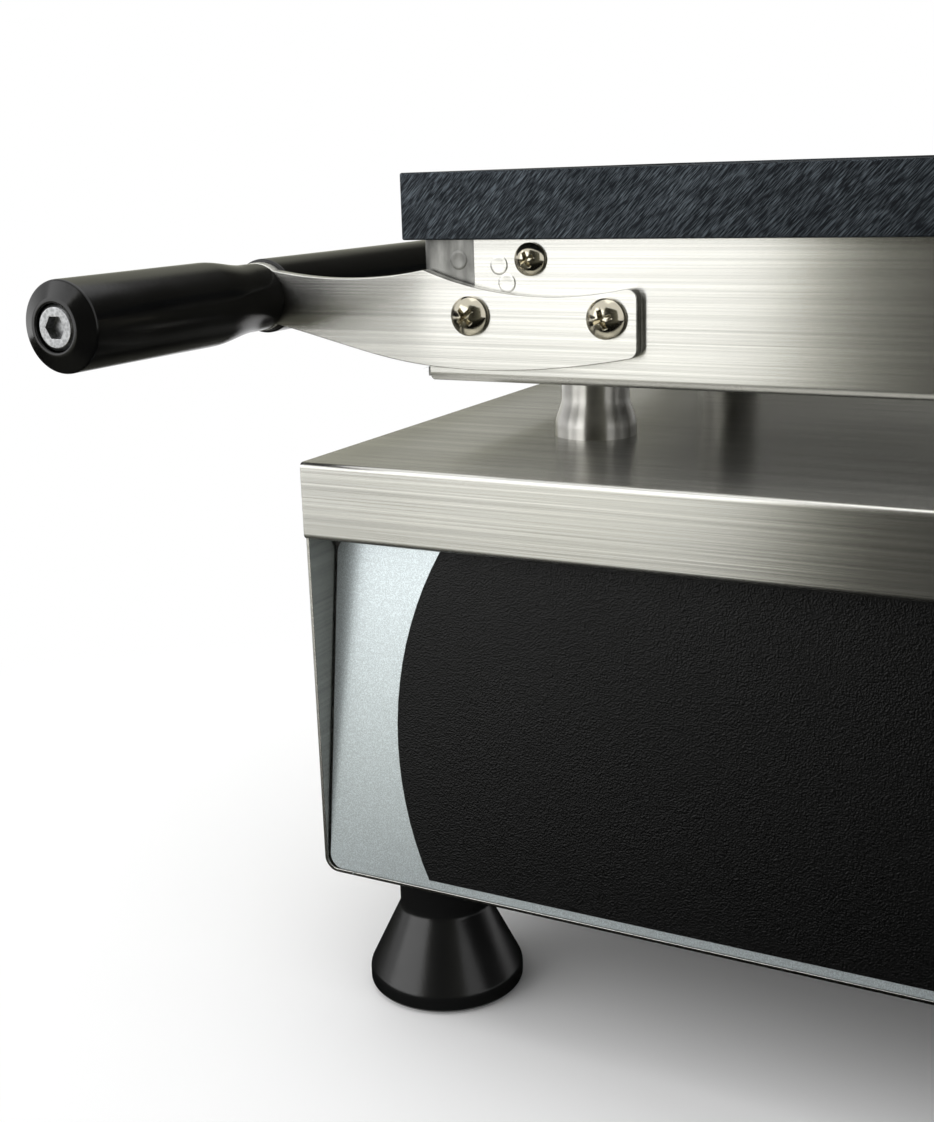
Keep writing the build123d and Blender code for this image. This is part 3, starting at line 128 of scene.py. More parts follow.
def colour(name, description, default):
    """A linear colour."""
    return FloatVectorProperty(name=name, description=description, default=default, min=0.0, max=1.0,
                               subtype="COLOR")


class SheetSteelSettings(bpy.types.PropertyGroup):
    """The brushed stainless sheet of the base, casings and brackets."""
    tone: colour("Steel", "Colour of the brushed stainless steel", (0.64, 0.636, 0.602))
    # The end caps' tone is much darker than the wall's steel. That darkness is painted shade for how little
    # light their differently brushed faces reflect; their duller, rougher mill finish is real.
    mill_tone: colour("Mill steel", "Colour of the duller end caps", (0.24, 0.24, 0.228))
    roughness: share("Roughness", "How blurred the steel's reflections are", 0.25)
    brushing: share("Brushing", "How much more the reflections blur across the brushing", 0.9)
    grain_width: distance("Grain width", "Width of one brushing line", 0.00055)
    grain_length: distance("Grain length", "Length of one brushing line", 0.11)
    cut_edge: distance("Cut edge", "Rounding of the sheet's cut edges", 0.0002)
    bracket_edge: distance("Bracket edge", "Rounding of the thicker brackets' edges", 0.0003)
    weld_radius: distance("Spot weld", "Radius of a spot weld's mark", 0.0026)


class PanelSettings(bpy.types.PropertyGroup):
    """The sloping front panel and its dark film."""
    silver: colour("Silver", "Colour of the panel's silver paint", (0.52, 0.575, 0.59))
    film: colour("Film", "Colour of the textured film", (0.0005, 0.00055, 0.0006))
    # Lighter specks on the film are painted glints: a colour that stands in for light sparkling off its grain,
    # not worn crests.
    film_crest: colour("Film crests", "Colour of the worn crests of its relief", (0.0055, 0.0058, 0.006))
    film_roughness: share("Film roughness", "How blurred the film's reflections are", 0.32)
    leather_grain: distance("Leather grain", "Size of one cell of the film's embossing", 0.0005)
    print_tone: colour("Print", "Colour of the dial marks", (0.55, 0.56, 0.56))
    tilt: FloatProperty(name="Tilt", description="How far the panel leans back", default=math.radians(8.0),
                        subtype="ANGLE", unit="ROTATION")
    dial_radius: distance("Dial radius", "Radius of the ring of marks round a knob", 0.0243)
    number_height: distance("Number height", "Height of the dial numbers", 0.0052)
    print_thickness: distance("Print thickness", "How far the print stands on the film", 0.00006)


class IronSettings(bpy.types.PropertyGroup):
    """The cast plates and what is under them."""
    iron: colour("Cast iron", "Colour of the ground cast iron", (0.004, 0.006, 0.009))
    scratch: colour("Scratch", "Colour of the grinding strokes", (0.13, 0.155, 0.178))
    roughness: share("Roughness", "How blurred the plate's reflections are", 0.46)
    ground_edge: distance("Ground edge", "Width of the plate's broken edges", 0.0006)
    cavity_width: distance("Cavity width", "Width of one waffle", 0.104)
    cavity_length: distance("Cavity length", "Length of one waffle", 0.203)
    cavity_depth: distance("Cavity depth", "Depth of one waffle cavity", 0.013)
    cavity_spacing: distance("Cavity spacing", "Rib between the two cavities", 0.010)
    draft: FloatProperty(name="Draft", description="Slope of the cavity's walls", default=math.radians(12.0),
                         subtype="ANGLE", unit="ROTATION")
    columns: IntProperty(name="Columns", description="Studs across one cavity", default=4, min=1)
    rows: IntProperty(name="Rows", description="Studs along one cavity", default=7, min=1)
    stud_height: distance("Stud height", "Height of one stud", 0.008)
    stud_groove: distance("Groove", "Width of the groove between two studs at the floor", 0.005)
    stud_rounding: distance("Stud rounding", "Rounding of a stud's cast edges", 0.0009)


class HandleSettings(bpy.types.PropertyGroup):
    """The grips, bars and their long bolts."""
    black: colour("Grip", "Colour of the moulded grip", (0.0022, 0.0022, 0.0022))
    roughness: share("Roughness", "How blurred the grip's reflections are", 0.17)
    neck_length: distance("Neck length", "Length of the grip's straight neck", 0.007)
    taper_length: distance("Taper length", "Length over which the neck swells to the grip", 0.022)
    chamfer_length: distance("Chamfer length", "Length of the chamfer at the grip's end", 0.0029)
    chamfer_width: distance("Chamfer width", "Width of the chamfer at the grip's end", 0.0052)
    neck_radius: distance("Neck radius", "Radius of the grip's neck", 0.011)
    recess_radius: distance("Recess radius", "Radius of the recess for the bolt's head", 0.0069)
    recess_depth: distance("Recess depth", "Depth of the recess for the bolt's head", 0.0076)
    bolt_radius: distance("Bolt radius", "Radius of the long bolt", 0.004)
    head_radius: distance("Head radius", "Radius of the long bolt's head", 0.0066)
    head_height: distance("Head height", "Height of the long bolt's head", 0.0072)
    socket_width: distance("Socket width", "Width of the hexagon socket across its flats", 0.006)
    socket_depth: distance("Socket depth", "Depth of the hexagon socket", 0.003)


class FastenerSettings(bpy.types.PropertyGroup):
    """Pan-head screws and their places."""
    steel: colour("Screw steel", "Colour of the polished screws", (0.6, 0.56, 0.45))
    small_radius: distance("Small head", "Radius of the casing screws' heads", 0.005)
    small_height: distance("Small head height", "Height of the casing screws' heads", 0.0037)
    large_radius: distance("Large head", "Radius of the bracket screws' heads", 0.0061)
    large_height: distance("Large head height", "Height of the bracket screws' heads", 0.0046)
    zinc: colour("Zinc", "Colour of zinc-plated fasteners", (0.32, 0.325, 0.33))


class StandSettings(bpy.types.PropertyGroup):
    """Feet and support posts."""
    rubber: colour("Foot", "Colour of the moulded feet", (0.006, 0.0062, 0.0061))
    collar_radius: distance("Foot collar", "Radius of the foot's collar", 0.0155)
    collar_height: distance("Foot collar height", "Height of the foot's collar", 0.0186)
    rim_height: distance("Foot rim", "Height of the foot's rim", 0.0065)
    turned: colour("Turned steel", "Colour of the turned posts", (0.6, 0.59, 0.56))
    post_foot_height: distance("Post foot", "Height of the post's wide foot", 0.0046)
    post_flare_height: distance("Post flare", "Height over which the post narrows", 0.0098)
    post_radius: distance("Post radius", "Radius of the post's straight top", 0.01135)


class StudioSettings(bpy.types.PropertyGroup):
    """Camera, lamps, floor and reflected cards."""
    floor_tone: colour("Floor", "Colour of the pale floor", (0.96, 0.96, 0.96))
    ambient: FloatProperty(name="Ambient", description="Strength of the even light from all round",
                           default=0.95, min=0.0)
    backdrop: FloatProperty(name="Backdrop", description="Strength of the white background as it is seen",
                            default=1.0, min=0.0)
    shadow_start: distance("Shadow start", "How far out the floor begins to turn white", 0.32)
    shadow_end: distance("Shadow end", "How far out the floor is as white as the backdrop", 0.7)
    softbox_power: FloatProperty(name="Softbox", description="Power of the large front left softbox",
                                 default=8.0, min=0.0, unit="POWER")
    lens: FloatProperty(name="Lens", description="Focal length in millimetres", default=47.62, min=1.0)


class WaffleMakerSettings(bpy.types.PropertyGroup):
    """All settings of the waffle maker."""
    steel: PointerProperty(type=SheetSteelSettings)
    panel: PointerProperty(type=PanelSettings)
    iron: PointerProperty(type=IronSettings)
    handle: PointerProperty(type=HandleSettings)
    fastener: PointerProperty(type=FastenerSettings)
    stand: PointerProperty(type=StandSettings)
    studio: PointerProperty(type=StudioSettings)


def settings():
    """The sizes and colours that the user may change."""
    return bpy.context.scene.waffle_maker


# Nodes and finishes

class Nodes:
    """Short ways to build a node tree."""

    def __init__(self, tree):
        self.tree = tree

    def add(self, kind, inputs=None, **options):
        """A new node with its options set and its inputs fed."""
        node = self.tree.nodes.new(kind)
        for name, value in options.items():
            setattr(node, name, value)
        self.feed(node, inputs or {})
        return node

    def feed(self, node, inputs):
        """Links inputs to sockets or to other nodes' first sockets, and sets the rest to plain values."""
        for name, value in inputs.items():
            if isinstance(value, bpy.types.Node):
                value = value.outputs[0]
            if isinstance(value, bpy.types.NodeSocket):
                self.tree.links.new(value, node.inputs[name])
            else:
                node.inputs[name].default_value = value

    def reckoned(self, operation, first, second):
        """A node that reckons with two numbers."""
        return self.add("ShaderNodeMath", {0: first, 1: second}, operation=operation)

    def seen_ray(self):
        """One for the rays that show a thing and zero for those that light it."""
        rays = self.add("ShaderNodeLightPath").outputs
        direct = self.reckoned("MAXIMUM", rays["Is Camera Ray"], rays["Is Glossy Ray"])
        return self.reckoned("MAXIMUM", direct, rays["Is Transmission Ray"])


class Finish(Nodes):
    """A procedural material under construction, in object coordinates."""

    def __init__(self, name, tone, metallic, roughness):
        self.material = bpy.data.materials.new(name)
        self.material.use_nodes = True
        self.material.diffuse_color = (*tone, 1.0)
        super().__init__(self.material.node_tree)
        self.shader = self.tree.nodes["Principled BSDF"]
        self.tone = tone
        self.set({"Base Color": (*tone, 1.0), "Metallic": metallic, "Roughness": roughness})
        self.place = self.add("ShaderNodeTexCoord").outputs["Object"]
        self.normal = None

    def set(self, inputs):
        """Feeds the shader's inputs."""
        self.feed(self.shader, inputs)

    def stretched(self, size, turn=LEVEL):
        """Coordinates in which one unit is size metres along each axis."""
        mapping = self.add("ShaderNodeMapping", {"Vector": self.place, "Rotation": turn})
        scale = [1.0 / length for length in size]
        return self.add("ShaderNodeMapping", {"Vector": mapping, "Scale": scale})

    def noise(self, size, detail=2.0, turn=LEVEL, distortion=0.0):
        """Cloudy noise whose lumps are about size metres, on all axes or on each."""
        size = size if isinstance(size, tuple) else (size, size, size)
        return self.add("ShaderNodeTexNoise", {"Vector": self.stretched(size, turn), "Scale": 1.0,
                                               "Detail": detail, "Distortion": distortion})

    def cells(self, size, feature="F1"):
        """Cell noise whose cells are about size metres across."""
        place = self.stretched((size, size, size))
        return self.add("ShaderNodeTexVoronoi", {"Vector": place, "Scale": 1.0}, feature=feature)

    def between(self, factor, low, high, start=RAMP_START, end=RAMP_END):
        """A number that goes from low to high with the factor."""
        return self.add("ShaderNodeMapRange", {"Value": factor, "From Min": start, "From Max": end,
                                               "To Min": low, "To Max": high})

    def bump(self, height, depth):
        """Adds relief of a given depth in metres."""
        relief = self.add("ShaderNodeBump", {"Height": height, "Strength": 1.0, "Distance": depth})
        if self.normal is not None:
            self.feed(relief, {"Normal": self.normal})
        self.normal = relief
        self.set({"Normal": relief})

    def drawn(self, axis, amount, turn=0.0):
        """Keeps reflections sharp along an axis and blurs them across it. A quarter turn swaps the two."""
        tangent = self.add("ShaderNodeTangent", direction_type="RADIAL", axis="XYZ"[axis])
        self.set({"Anisotropic": amount, "Anisotropic Rotation": turn, "Tangent": tangent})

    def rough(self, factor, low, high):
        """Varies the roughness with the factor."""
        self.set({"Roughness": self.between(factor, low, high)})

    def streak(self, factor, low_tone, high_tone, start, end):
        """Takes the colour from one tone to another as the factor goes from start to end."""
        ramp = self.add("ShaderNodeValToRGB", {"Fac": factor})
        for element, tone, position in zip(ramp.color_ramp.elements, (low_tone, high_tone), (start, end)):
            element.color = (*tone, 1.0)
            element.position = position
        self.set({"Base Color": ramp})

    def tint(self, factor, darker, lighter):
        """Varies the colour between two multiples of the finish's tone."""
        tones = [[min(1.0, channel * amount) for channel in self.tone] for amount in (darker, lighter)]
        self.streak(factor, *tones, RAMP_START, RAMP_END)


def brushed_steel(name, axis, depth=1.0):
    """Stainless sheet brushed along one axis. Its broad lines are depth times as deep as they are high."""
    steel = settings().steel

    def line_size(scale, stretch, across):
        """The size of a brushing line."""
        size = [steel.grain_width * scale, steel.grain_width * scale, steel.grain_width * scale]
        size[axis] = steel.grain_length * stretch
        size[1] *= across
        return tuple(size)

    finish = Finish(name, steel.tone, 1.0, steel.roughness)
    finish.tint(finish.noise(line_size(2.0, 1.6, depth), 3.0), 0.84, 1.1)
    smears = finish.noise((0.06, 0.06, 0.04), 3.0, distortion=0.4)
    finish.rough(smears, steel.roughness * 0.92, steel.roughness * 1.06)
    finish.bump(finish.noise(line_size(1.0, 1.0, 1.0)), 0.00003)
    finish.drawn(axis, steel.brushing)
    return finish.material


steel_along_x = partial(brushed_steel, "steel_brushed_across", 0)
steel_of_cover = partial(brushed_steel, "steel_of_the_cover", 0, 3.5)
steel_along_y = partial(brushed_steel, "steel_brushed_to_the_back", 1)


def textured_film():
    """Black film embossed like fine leather."""
    panel = settings().panel
    blur = panel.film_roughness
    grain = panel.leather_grain
    finish = Finish("textured_film", panel.film, 0.0, blur)
    # Painted glints: lighter specks from a noise of their own, which doesn't follow the crests of the relief.
    finish.streak(finish.noise(grain, 3.0), panel.film, panel.film_crest, 0.5, 0.72)
    finish.set({"Specular IOR Level": 0.21})
    finish.bump(finish.cells(grain, "SMOOTH_F1"), 0.00016)
    finish.bump(finish.noise(grain / 2, 3.0, distortion=0.5), 0.00005)
    finish.rough(finish.noise(0.02), blur * 0.92, blur * 1.08)
    return finish.material


def ground_iron():
    """Cast iron, ground in slanting strokes and darkened by use."""
    iron = settings().iron
    finish = Finish("ground_cast_iron", iron.iron, 0.75, iron.roughness)
    strokes = finish.noise((0.009, 0.00022, 0.00022), 2.0, (0.0, math.radians(47), math.radians(3)))
    crossed = finish.noise((0.012, 0.0008, 0.0008), 2.0, (0.0, math.radians(62), 0.0))
    stains = finish.noise((0.03, 0.03, 0.02), 4.0, distortion=0.8)
    finish.streak(strokes, iron.iron, iron.scratch, 0.46, 0.8)
    finish.rough(stains, iron.roughness * 0.85, iron.roughness * 1.2)
    finish.bump(strokes, 0.00004)
    finish.bump(crossed, 0.00005)
    return finish.material


def grip_moulding():
    """Glossy black moulded plastic."""
    handle = settings().handle
    finish = Finish("glossy_black_moulding", handle.black, 0.0, handle.roughness)
    finish.set({"Specular IOR Level": 0.4})
    finish.rough(finish.noise((0.012, 0.03, 0.012), 3.0), handle.roughness * 0.8, handle.roughness * 1.35)
    finish.bump(finish.noise(0.0012, 3.0), 0.000012)
    finish.bump(finish.noise(0.02), 0.00002)
    return finish.material


def turned_steel():
    """Bright steel with fine turning rings, which blur its reflections upward."""
    finish = Finish("turned_steel", settings().stand.turned, 1.0, 0.31)
    rings = finish.noise((0.05, 0.05, 0.0003))
    finish.tint(finish.noise((0.02, 0.02, 0.004), 3.0), 0.9, 1.05)
    finish.rough(rings, 0.29, 0.34)
    finish.bump(rings, 0.000008)
    finish.drawn(2, 0.9, 0.25)
    return finish.material


def mineral_wool():
    """Matted fibre of the insulation pad."""
    finish = Finish("mineral_wool", (0.46, 0.42, 0.33), 0.0, 0.95)
    fibres = finish.noise((0.008, 0.0008, 0.0015), 5.0, distortion=1.2)
    finish.tint(fibres, 0.7, 1.25)
    finish.bump(fibres, 0.0008)
    return finish.material


def plain(name, tone, metallic, roughness, *steps, **inputs):
    """A finish made in steps: what the step changes, the size and detail of its noise, and the amounts.

    A tone may be the name of a setting. Without a detail the noise is cells. The inputs are the shader's,
    with _ for a space.
    """
    tone = settings().path_resolve(tone) if isinstance(tone, str) else tone
    finish = Finish(name, tone, metallic, roughness)
    finish.set({socket.replace("_", " "): value for socket, value in inputs.items()})
    for change, size, detail, *amounts in steps:
        noise = finish.noise(size, detail) if detail else finish.cells(size)
        getattr(finish, change)(noise, *amounts)
    return finish.material


# End-cap steel: a real, rougher mill finish, and a darker tone that is painted shade for the light their faces
# reflect less.
mill_steel = partial(
    plain, "mill_steel", "steel.mill_tone", 1.0, 0.4,
    ("tint", (0.004, 0.004, 0.012), 4.0, 0.6, 1.35),
    ("rough", (0.006, 0.006, 0.012), 3.0, 0.34, 0.46),
    ("bump", (0.0005, 0.0005, 0.004), 3.0, 0.00002))
silver_paint = partial(
    plain, "silver_paint", "panel.silver", 0.7, 0.31,
    ("tint", 0.00035, None, 0.84, 1.24),
    ("bump", 0.0005, 2.0, 0.00002),
    ("rough", 0.03, 2.0, 0.29, 0.33))
dial_print = partial(
    plain, "dial_print", "panel.print_tone", 0.0, 0.5,
    ("tint", 0.0006, 2.0, 0.92, 1.04))
foot_moulding = partial(
    plain, "foot_moulding", "stand.rubber", 0.0, 0.24,
    ("rough", 0.01, 3.0, 0.2, 0.27),
    ("bump", 0.0007, 3.0, 0.00003))
polished_screw = partial(
    plain, "polished_screw", "fastener.steel", 1.0, 0.13,
    ("rough", (0.0012, 0.0012, 0.0004), 4.0, 0.08, 0.2),
    ("bump", (0.0012, 0.0012, 0.0004), 4.0, 0.000015))
zinc_plate = partial(
    plain, "zinc_plate", "fastener.zinc", 1.0, 0.33,
    ("tint", 0.0009, None, 0.8, 1.25),
    ("rough", 0.002, 3.0, 0.29, 0.42))
knob_moulding = partial(
    plain, "knob_moulding", (0.011, 0.011, 0.0115), 0.0, 0.34,
    ("bump", 0.0006, 2.0, 0.00002),
    ("rough", 0.008, 2.0, 0.3, 0.4))
black_moulding = partial(
    plain, "housing_moulding", (0.014, 0.014, 0.015), 0.0, 0.46,
    ("bump", 0.0008, 3.0, 0.00003))
white_ceramic = partial(
    plain, "terminal_ceramic", (0.74, 0.72, 0.67), 0.0, 0.55,
    ("tint", 0.004, 3.0, 0.93, 1.03),
    ("bump", 0.0006, 3.0, 0.00003))
switch_red = partial(
    plain, "rocker_red", (0.46, 0.012, 0.009), 0.0, 0.22,
    ("tint", 0.006, 2.0, 0.92, 1.06),
    ("bump", 0.001, 2.0, 0.00001),
    Subsurface_Weight=0.25, Subsurface_Scale=0.004)
lamp_lens = partial(
    plain, "amber_lens", (0.62, 0.16, 0.012), 0.0, 0.1,
    ("tint", 0.0011, None, 0.7, 1.15),
    ("bump", 0.0011, None, 0.00006),
    Subsurface_Weight=0.35, Subsurface_Scale=0.004, Coat_Weight=0.5)
element_sheath = partial(
    plain, "element_sheath", (0.24, 0.215, 0.19), 0.9, 0.5,
    ("tint", 0.02, 3.0, 0.65, 1.3),
    ("bump", 0.0008, 3.0, 0.00004))
drawn_copper = partial(
    plain, "drawn_copper", (0.62, 0.27, 0.15), 1.0, 0.32,
    ("tint", (0.003, 0.02, 0.003), 3.0, 0.75, 1.1),
    ("bump", (0.0006, 0.01, 0.0006), 2.0, 0.00001))

FINISH_OF_SLOT = {
    "brushed_stainless": steel_along_x,
    "silver_panel": silver_paint,
    "black_overlay": textured_film,
    "screws": polished_screw,
    "zinc_steel": zinc_plate,
    "turned_steel": turned_steel,
    "ground_iron": ground_iron,
    "grip_black": grip_moulding,
    "foot_black": foot_moulding,
    "knob_black": knob_moulding,
    "black_moulding": black_moulding,
    "white_moulding": white_ceramic,
    "switch_red": switch_red,
    "lamp_lens": lamp_lens,
    "element_steel": element_sheath,
    "mineral_wool": mineral_wool,
    "copper_bulb": drawn_copper,
}


@cache
def finish_of(recipe):
    """A finish, made once and then shared."""
    return recipe()


# Shapes

def placed(x, y, z, axis=UP):
    """A place at a point, whose own Z looks along an axis."""
    turn = Vector(axis).to_track_quat("Z", "Y").to_matrix().to_4x4()
    return Matrix.Translation((x, y, z)) @ turn


def mesh_from(shape, name="shape", outward=True):
    """A mesh from an edited shape, its faces turned outward if asked."""
    if outward:
        bmesh.ops.recalc_face_normals(shape, faces=shape.faces)
    mesh = bpy.data.meshes.new(name)
    shape.to_mesh(mesh)
    shape.free()
    return mesh


def rounded(points, radius, steps=5):
    """A line through (radius, height) points whose corners are rounded."""
    line = [Vector(points[0])]
    for before, turn, after in zip(points, points[1:], points[2:]):
        turn = Vector(turn)
        back = Vector(before) - turn
        ahead = Vector(after) - turn
        reach = min(radius, back.length * 0.45, ahead.length * 0.45)
        start = turn + back.normalized() * reach
        end = turn + ahead.normalized() * reach
        for step in range(steps + 1):
            t = step / steps
            line.append(start * (1 - t) ** 2 + turn * 2 * t * (1 - t) + end * t ** 2)
    line.append(Vector(points[-1]))
    return line


def swelling(start, end, low, length, steps=16):
    """(radius, height) points of an S-shaped change from one radius to another."""
    shares = [step / steps for step in range(steps + 1)]
    return [(start + (end - start) * t * t * (3 - 2 * t), low + length * t) for t in shares]


def turned(line, place=NO_MOVE, steps=96, closed=False):
    """A body turned about the place's Z from a line of (radius, height) points."""
    shape = bmesh.new()
    rings = []
    for radius, height in line:
        if radius < 1e-7:
            rings.append([shape.verts.new((0.0, 0.0, height))])
            continue
        angles = [2 * math.pi * step / steps for step in range(steps)]
        rings.append([shape.verts.new((radius * math.cos(angle), radius * math.sin(angle), height))
                      for angle in angles])
    pairs = list(zip(rings, rings[1:]))
    if closed:
        pairs.append((rings[-1], rings[0]))
    for low, high in pairs:
        for step in range(steps):
            after = (step + 1) % steps
            around = ((low, step), (low, after), (high, after), (high, step))
            face = list(dict.fromkeys(ring[index % len(ring)] for ring, index in around))
            if len(face) > 2:
                shape.faces.new(face)
    shape.transform(place)
    return mesh_from(shape)


def rectangle(shape, width, length, z):
    """The four corners of a level rectangle, added to a shape."""
    signs = ((-1, -1), (1, -1), (1, 1), (-1, 1))
    return [shape.verts.new((x * width / 2, y * length / 2, z)) for x, y in signs]


def tapered_block(bottom, top, low, high):
    """A block between two rectangles (width, length) at two heights."""
    shape = bmesh.new()
    lower = rectangle(shape, *bottom, low)
    upper = rectangle(shape, *top, high)
    shape.faces.new(lower[::-1])
    shape.faces.new(upper)
    for step in range(4):
        after = (step + 1) % 4
        shape.faces.new((lower[step], lower[after], upper[after], upper[step]))
    return mesh_from(shape)


def prism(sides, width, low, high):
    """A prism with an even number of sides, measured across its flats."""
    radius = width / 2 / math.cos(math.pi / sides)
    return turned([(0.0, low), (radius, low), (radius, high), (0.0, high)], steps=sides)


def shown(data, name="draft"):
    """A scene object for a mesh or other data."""
    thing = bpy.data.objects.new(name, data)
    bpy.context.scene.collection.objects.link(thing)
    return thing


def worked(thing):
    """The plain mesh of an object with its modifiers worked in. The object goes."""
    bpy.context.view_layer.update()
    graph = bpy.context.evaluated_depsgraph_get()
    mesh = bpy.data.meshes.new_from_object(thing.evaluated_get(graph), depsgraph=graph)
    bpy.data.objects.remove(thing)
    return mesh


def modified(mesh, kind, **options):
    """The mesh after one modifier."""
    thing = shown(mesh)
    modifier = thing.modifiers.new(kind, kind)
    for name, value in options.items():
        setattr(modifier, name, value)
    return worked(thing)


def softened(mesh, width, segments=2, angle=30.0):
    """A mesh whose edges are rounded where its faces meet at more than an angle."""
    return modified(mesh, "BEVEL", width=width, segments=segments, limit_method="ANGLE",
                    angle_limit=math.radians(angle), use_clamp_overlap=False)


def carved(mesh, *cutters):
    """A mesh with other meshes cut out of it."""
    for cutter in cutters:
        tool = shown(cutter, "cutter")
        mesh = modified(mesh, "BOOLEAN", operation="DIFFERENCE", solver="EXACT", object=tool)
        bpy.data.objects.remove(tool)
    return mesh


def joined(meshes):
    """One mesh of several."""
    shape = bmesh.new()
    for mesh in meshes:
        shape.from_mesh(mesh)
    return mesh_from(shape, "joined", outward=False)


def moved(mesh, place):
    """A copy of a mesh at a place."""
    copy = mesh.copy()
    copy.transform(place)
    return copy


def mirrored(mesh):
    """A copy of a mesh for the other iron."""
    copy = moved(mesh, Matrix.Scale(-1.0, 4, (1.0, 0.0, 0.0)))
    copy.flip_normals()
    return copy


def formed(node, rounding):
    """A clean copy of a node's mesh with its edges rounded."""
    shape = bmesh.new()
    shape.from_mesh(frame["nodes"][node].data)
    bmesh.ops.remove_doubles(shape, verts=shape.verts, dist=MERGE_DISTANCE)
    bmesh.ops.dissolve_limit(shape, angle_limit=FLAT_ANGLE, verts=shape.verts, edges=shape.edges)
    mesh = mesh_from(shape, "formed", outward=False)
    return softened(mesh, rounding) if rounding > 0 else mesh


def folded(corners, thickness, bend, low, high):
    """A sheet folded along X: (y, z) corners of its outer face in order, its material on their left."""
    corners = [Vector(point) for point in corners]
    ways = [(after - before).normalized() for before, after in zip(corners, corners[1:])]
    inner_corners = []
    for point, before, after in zip(corners, ways[:1] + ways, ways + ways[-1:]):
        aside = before.orthogonal() + after.orthogonal()
        inner_corners.append(point + aside * thickness / (1 + before.dot(after)))
    lines = (rounded(corners, bend, 8), rounded(inner_corners, bend - thickness, 8))
    shape = bmesh.new()
    (outer, inner), (far_outer, far_inner) = [
        [[shape.verts.new((x, y, z)) for y, z in line] for line in lines] for x in (low, high)]
    for index in range(len(outer) - 1):
        for a, b in ((outer, far_outer), (inner, far_inner), (outer, inner), (far_outer, far_inner)):
            shape.faces.new((a[index], a[index + 1], b[index + 1], b[index]))
    for index in (0, -1):
        shape.faces.new((outer[index], inner[index], far_inner[index], far_outer[index]))
    return mesh_from(shape)


def finished(name, mesh, recipe, *nodes, body=None, slot=None, smooth=35.0):
    """A finished piece: shaded, given its finish, riding on its body and standing for its nodes.

    Its body is that of its first node, where it isn't given. The slot argument is not used.
    """
    mesh.materials.clear()
    mesh.materials.append(finish_of(recipe))
    mesh.shade_smooth()
    mesh.set_sharp_from_angle(angle=math.radians(smooth))
    mesh = modified(mesh, "WEIGHTED_NORMAL", keep_sharp=True, weight=60)
    mesh.name = name
    thing = shown(mesh, name)
    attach(thing, body or body_of(nodes[0]))
    if nodes:
        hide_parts(*nodes)


def body_of(node):
    """The body that a node rides on."""
    return frame["nodes"][node]["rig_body"]


def reformed(node, recipe, rounding):
    """Stands a clean, rounded copy in a node's place."""
    finished(node + "_formed", formed(node, rounding), recipe, node)


def turned_piece(name, line, recipe, node, place, smooth=35.0, closed=False):
    """Stands a body turned from a line in a node's place."""
    finished(name, turned(line, place, 112, closed), recipe, node, smooth=smooth)


def dressed(*nodes):
    """Gives nodes that keep their own shape the finish of their slot."""
    for node in nodes:
        frame["nodes"][node].material_slots[0].material = finish_of(FINISH_OF_SLOT[SLOT_OF[node]])


# Geometry Nodes

class Tree(Nodes):
    """A Geometry Nodes tree with named inputs."""

    def __init__(self, name):
        super().__init__(bpy.data.node_groups.new(name, "GeometryNodeTree"))
        for way in ("OUTPUT", "INPUT"):
            self.tree.interface.new_socket("Geometry", in_out=way, socket_type="NodeSocketGeometry")
        self.inlet = self.add("NodeGroupInput")
        self.outlet = self.add("NodeGroupOutput")
        self.identifiers = {}

    def input(self, name, kind):
        """A named input of the tree."""
        socket = self.tree.interface.new_socket(name, in_out="INPUT", socket_type="NodeSocket" + kind)
        self.identifiers[name] = socket.identifier
        return self.inlet.outputs[name]

    def template(self, name):
        """The geometry of an object that is an input of the tree."""
        return self.add("GeometryNodeObjectInfo", {"Object": self.input(name, "Object")}).outputs["Geometry"]

    def instanced(self, points, template, rotation=LEVEL):
        """A template set on every point."""
        return self.add("GeometryNodeInstanceOnPoints", {"Points": points, "Instance": template,
                                                         "Rotation": rotation})

    def end(self, geometry):
        """Realizes the instances, sets the material and closes the tree."""
        realized = self.add("GeometryNodeRealizeInstances", {"Geometry": geometry})
        finish = self.input("Finish", "Material")
        painted = self.add("GeometryNodeSetMaterial", {"Geometry": realized, "Material": finish})
        self.feed(self.outlet, {"Geometry": painted})
        return self

    def grown(self, host, **inputs):
        """The plain mesh that the tree makes on a host mesh."""
        thing = shown(host)
        modifier = thing.modifiers.new("Grown", "NODES")
        modifier.node_group = self.tree
        for name, value in inputs.items():
            modifier[self.identifiers[name]] = value
        return worked(thing)


def fasteners_tree():
    """Sets one template on every point of the host, turned to the point's outward direction."""
    tree = Tree("Fasteners on faces")
    outward, spin = [
        tree.add("GeometryNodeInputNamedAttribute", {"Name": name}, data_type=kind).outputs["Attribute"]
        for name, kind in (("outward", "FLOAT_VECTOR"), ("spin", "FLOAT"))]
    aim = tree.add("FunctionNodeAlignRotationToVector", {"Vector": outward}, axis="Z")
    twist = tree.add("FunctionNodeAxisAngleToRotation", {"Axis": UP, "Angle": spin})
    turn = tree.add("FunctionNodeRotateRotation", {"Rotation": aim, "Rotate By": twist},
                    rotation_space="LOCAL")
    return tree.end(tree.instanced(tree.inlet, tree.template("Template"), turn))


def studs_tree():
    """Sets a grid of studs on the floor of a waffle cavity."""
    tree = Tree("Waffle studs")
    grid = tree.add("GeometryNodeMeshGrid", {
        "Vertices X": tree.input("Columns", "Int"), "Vertices Y": tree.input("Rows", "Int"),
        "Size X": tree.input("Width", "Float"), "Size Y": tree.input("Length", "Float")})
    place = tree.input("Place", "Vector")
    shifted = tree.add("GeometryNodeTransform", {"Geometry": grid, "Translation": place})
    studs = tree.instanced(shifted, tree.template("Stud"))
    both = tree.add("GeometryNodeJoinGeometry", {"Geometry": studs})
    tree.feed(both, {"Geometry": tree.inlet})
    return tree.end(both)


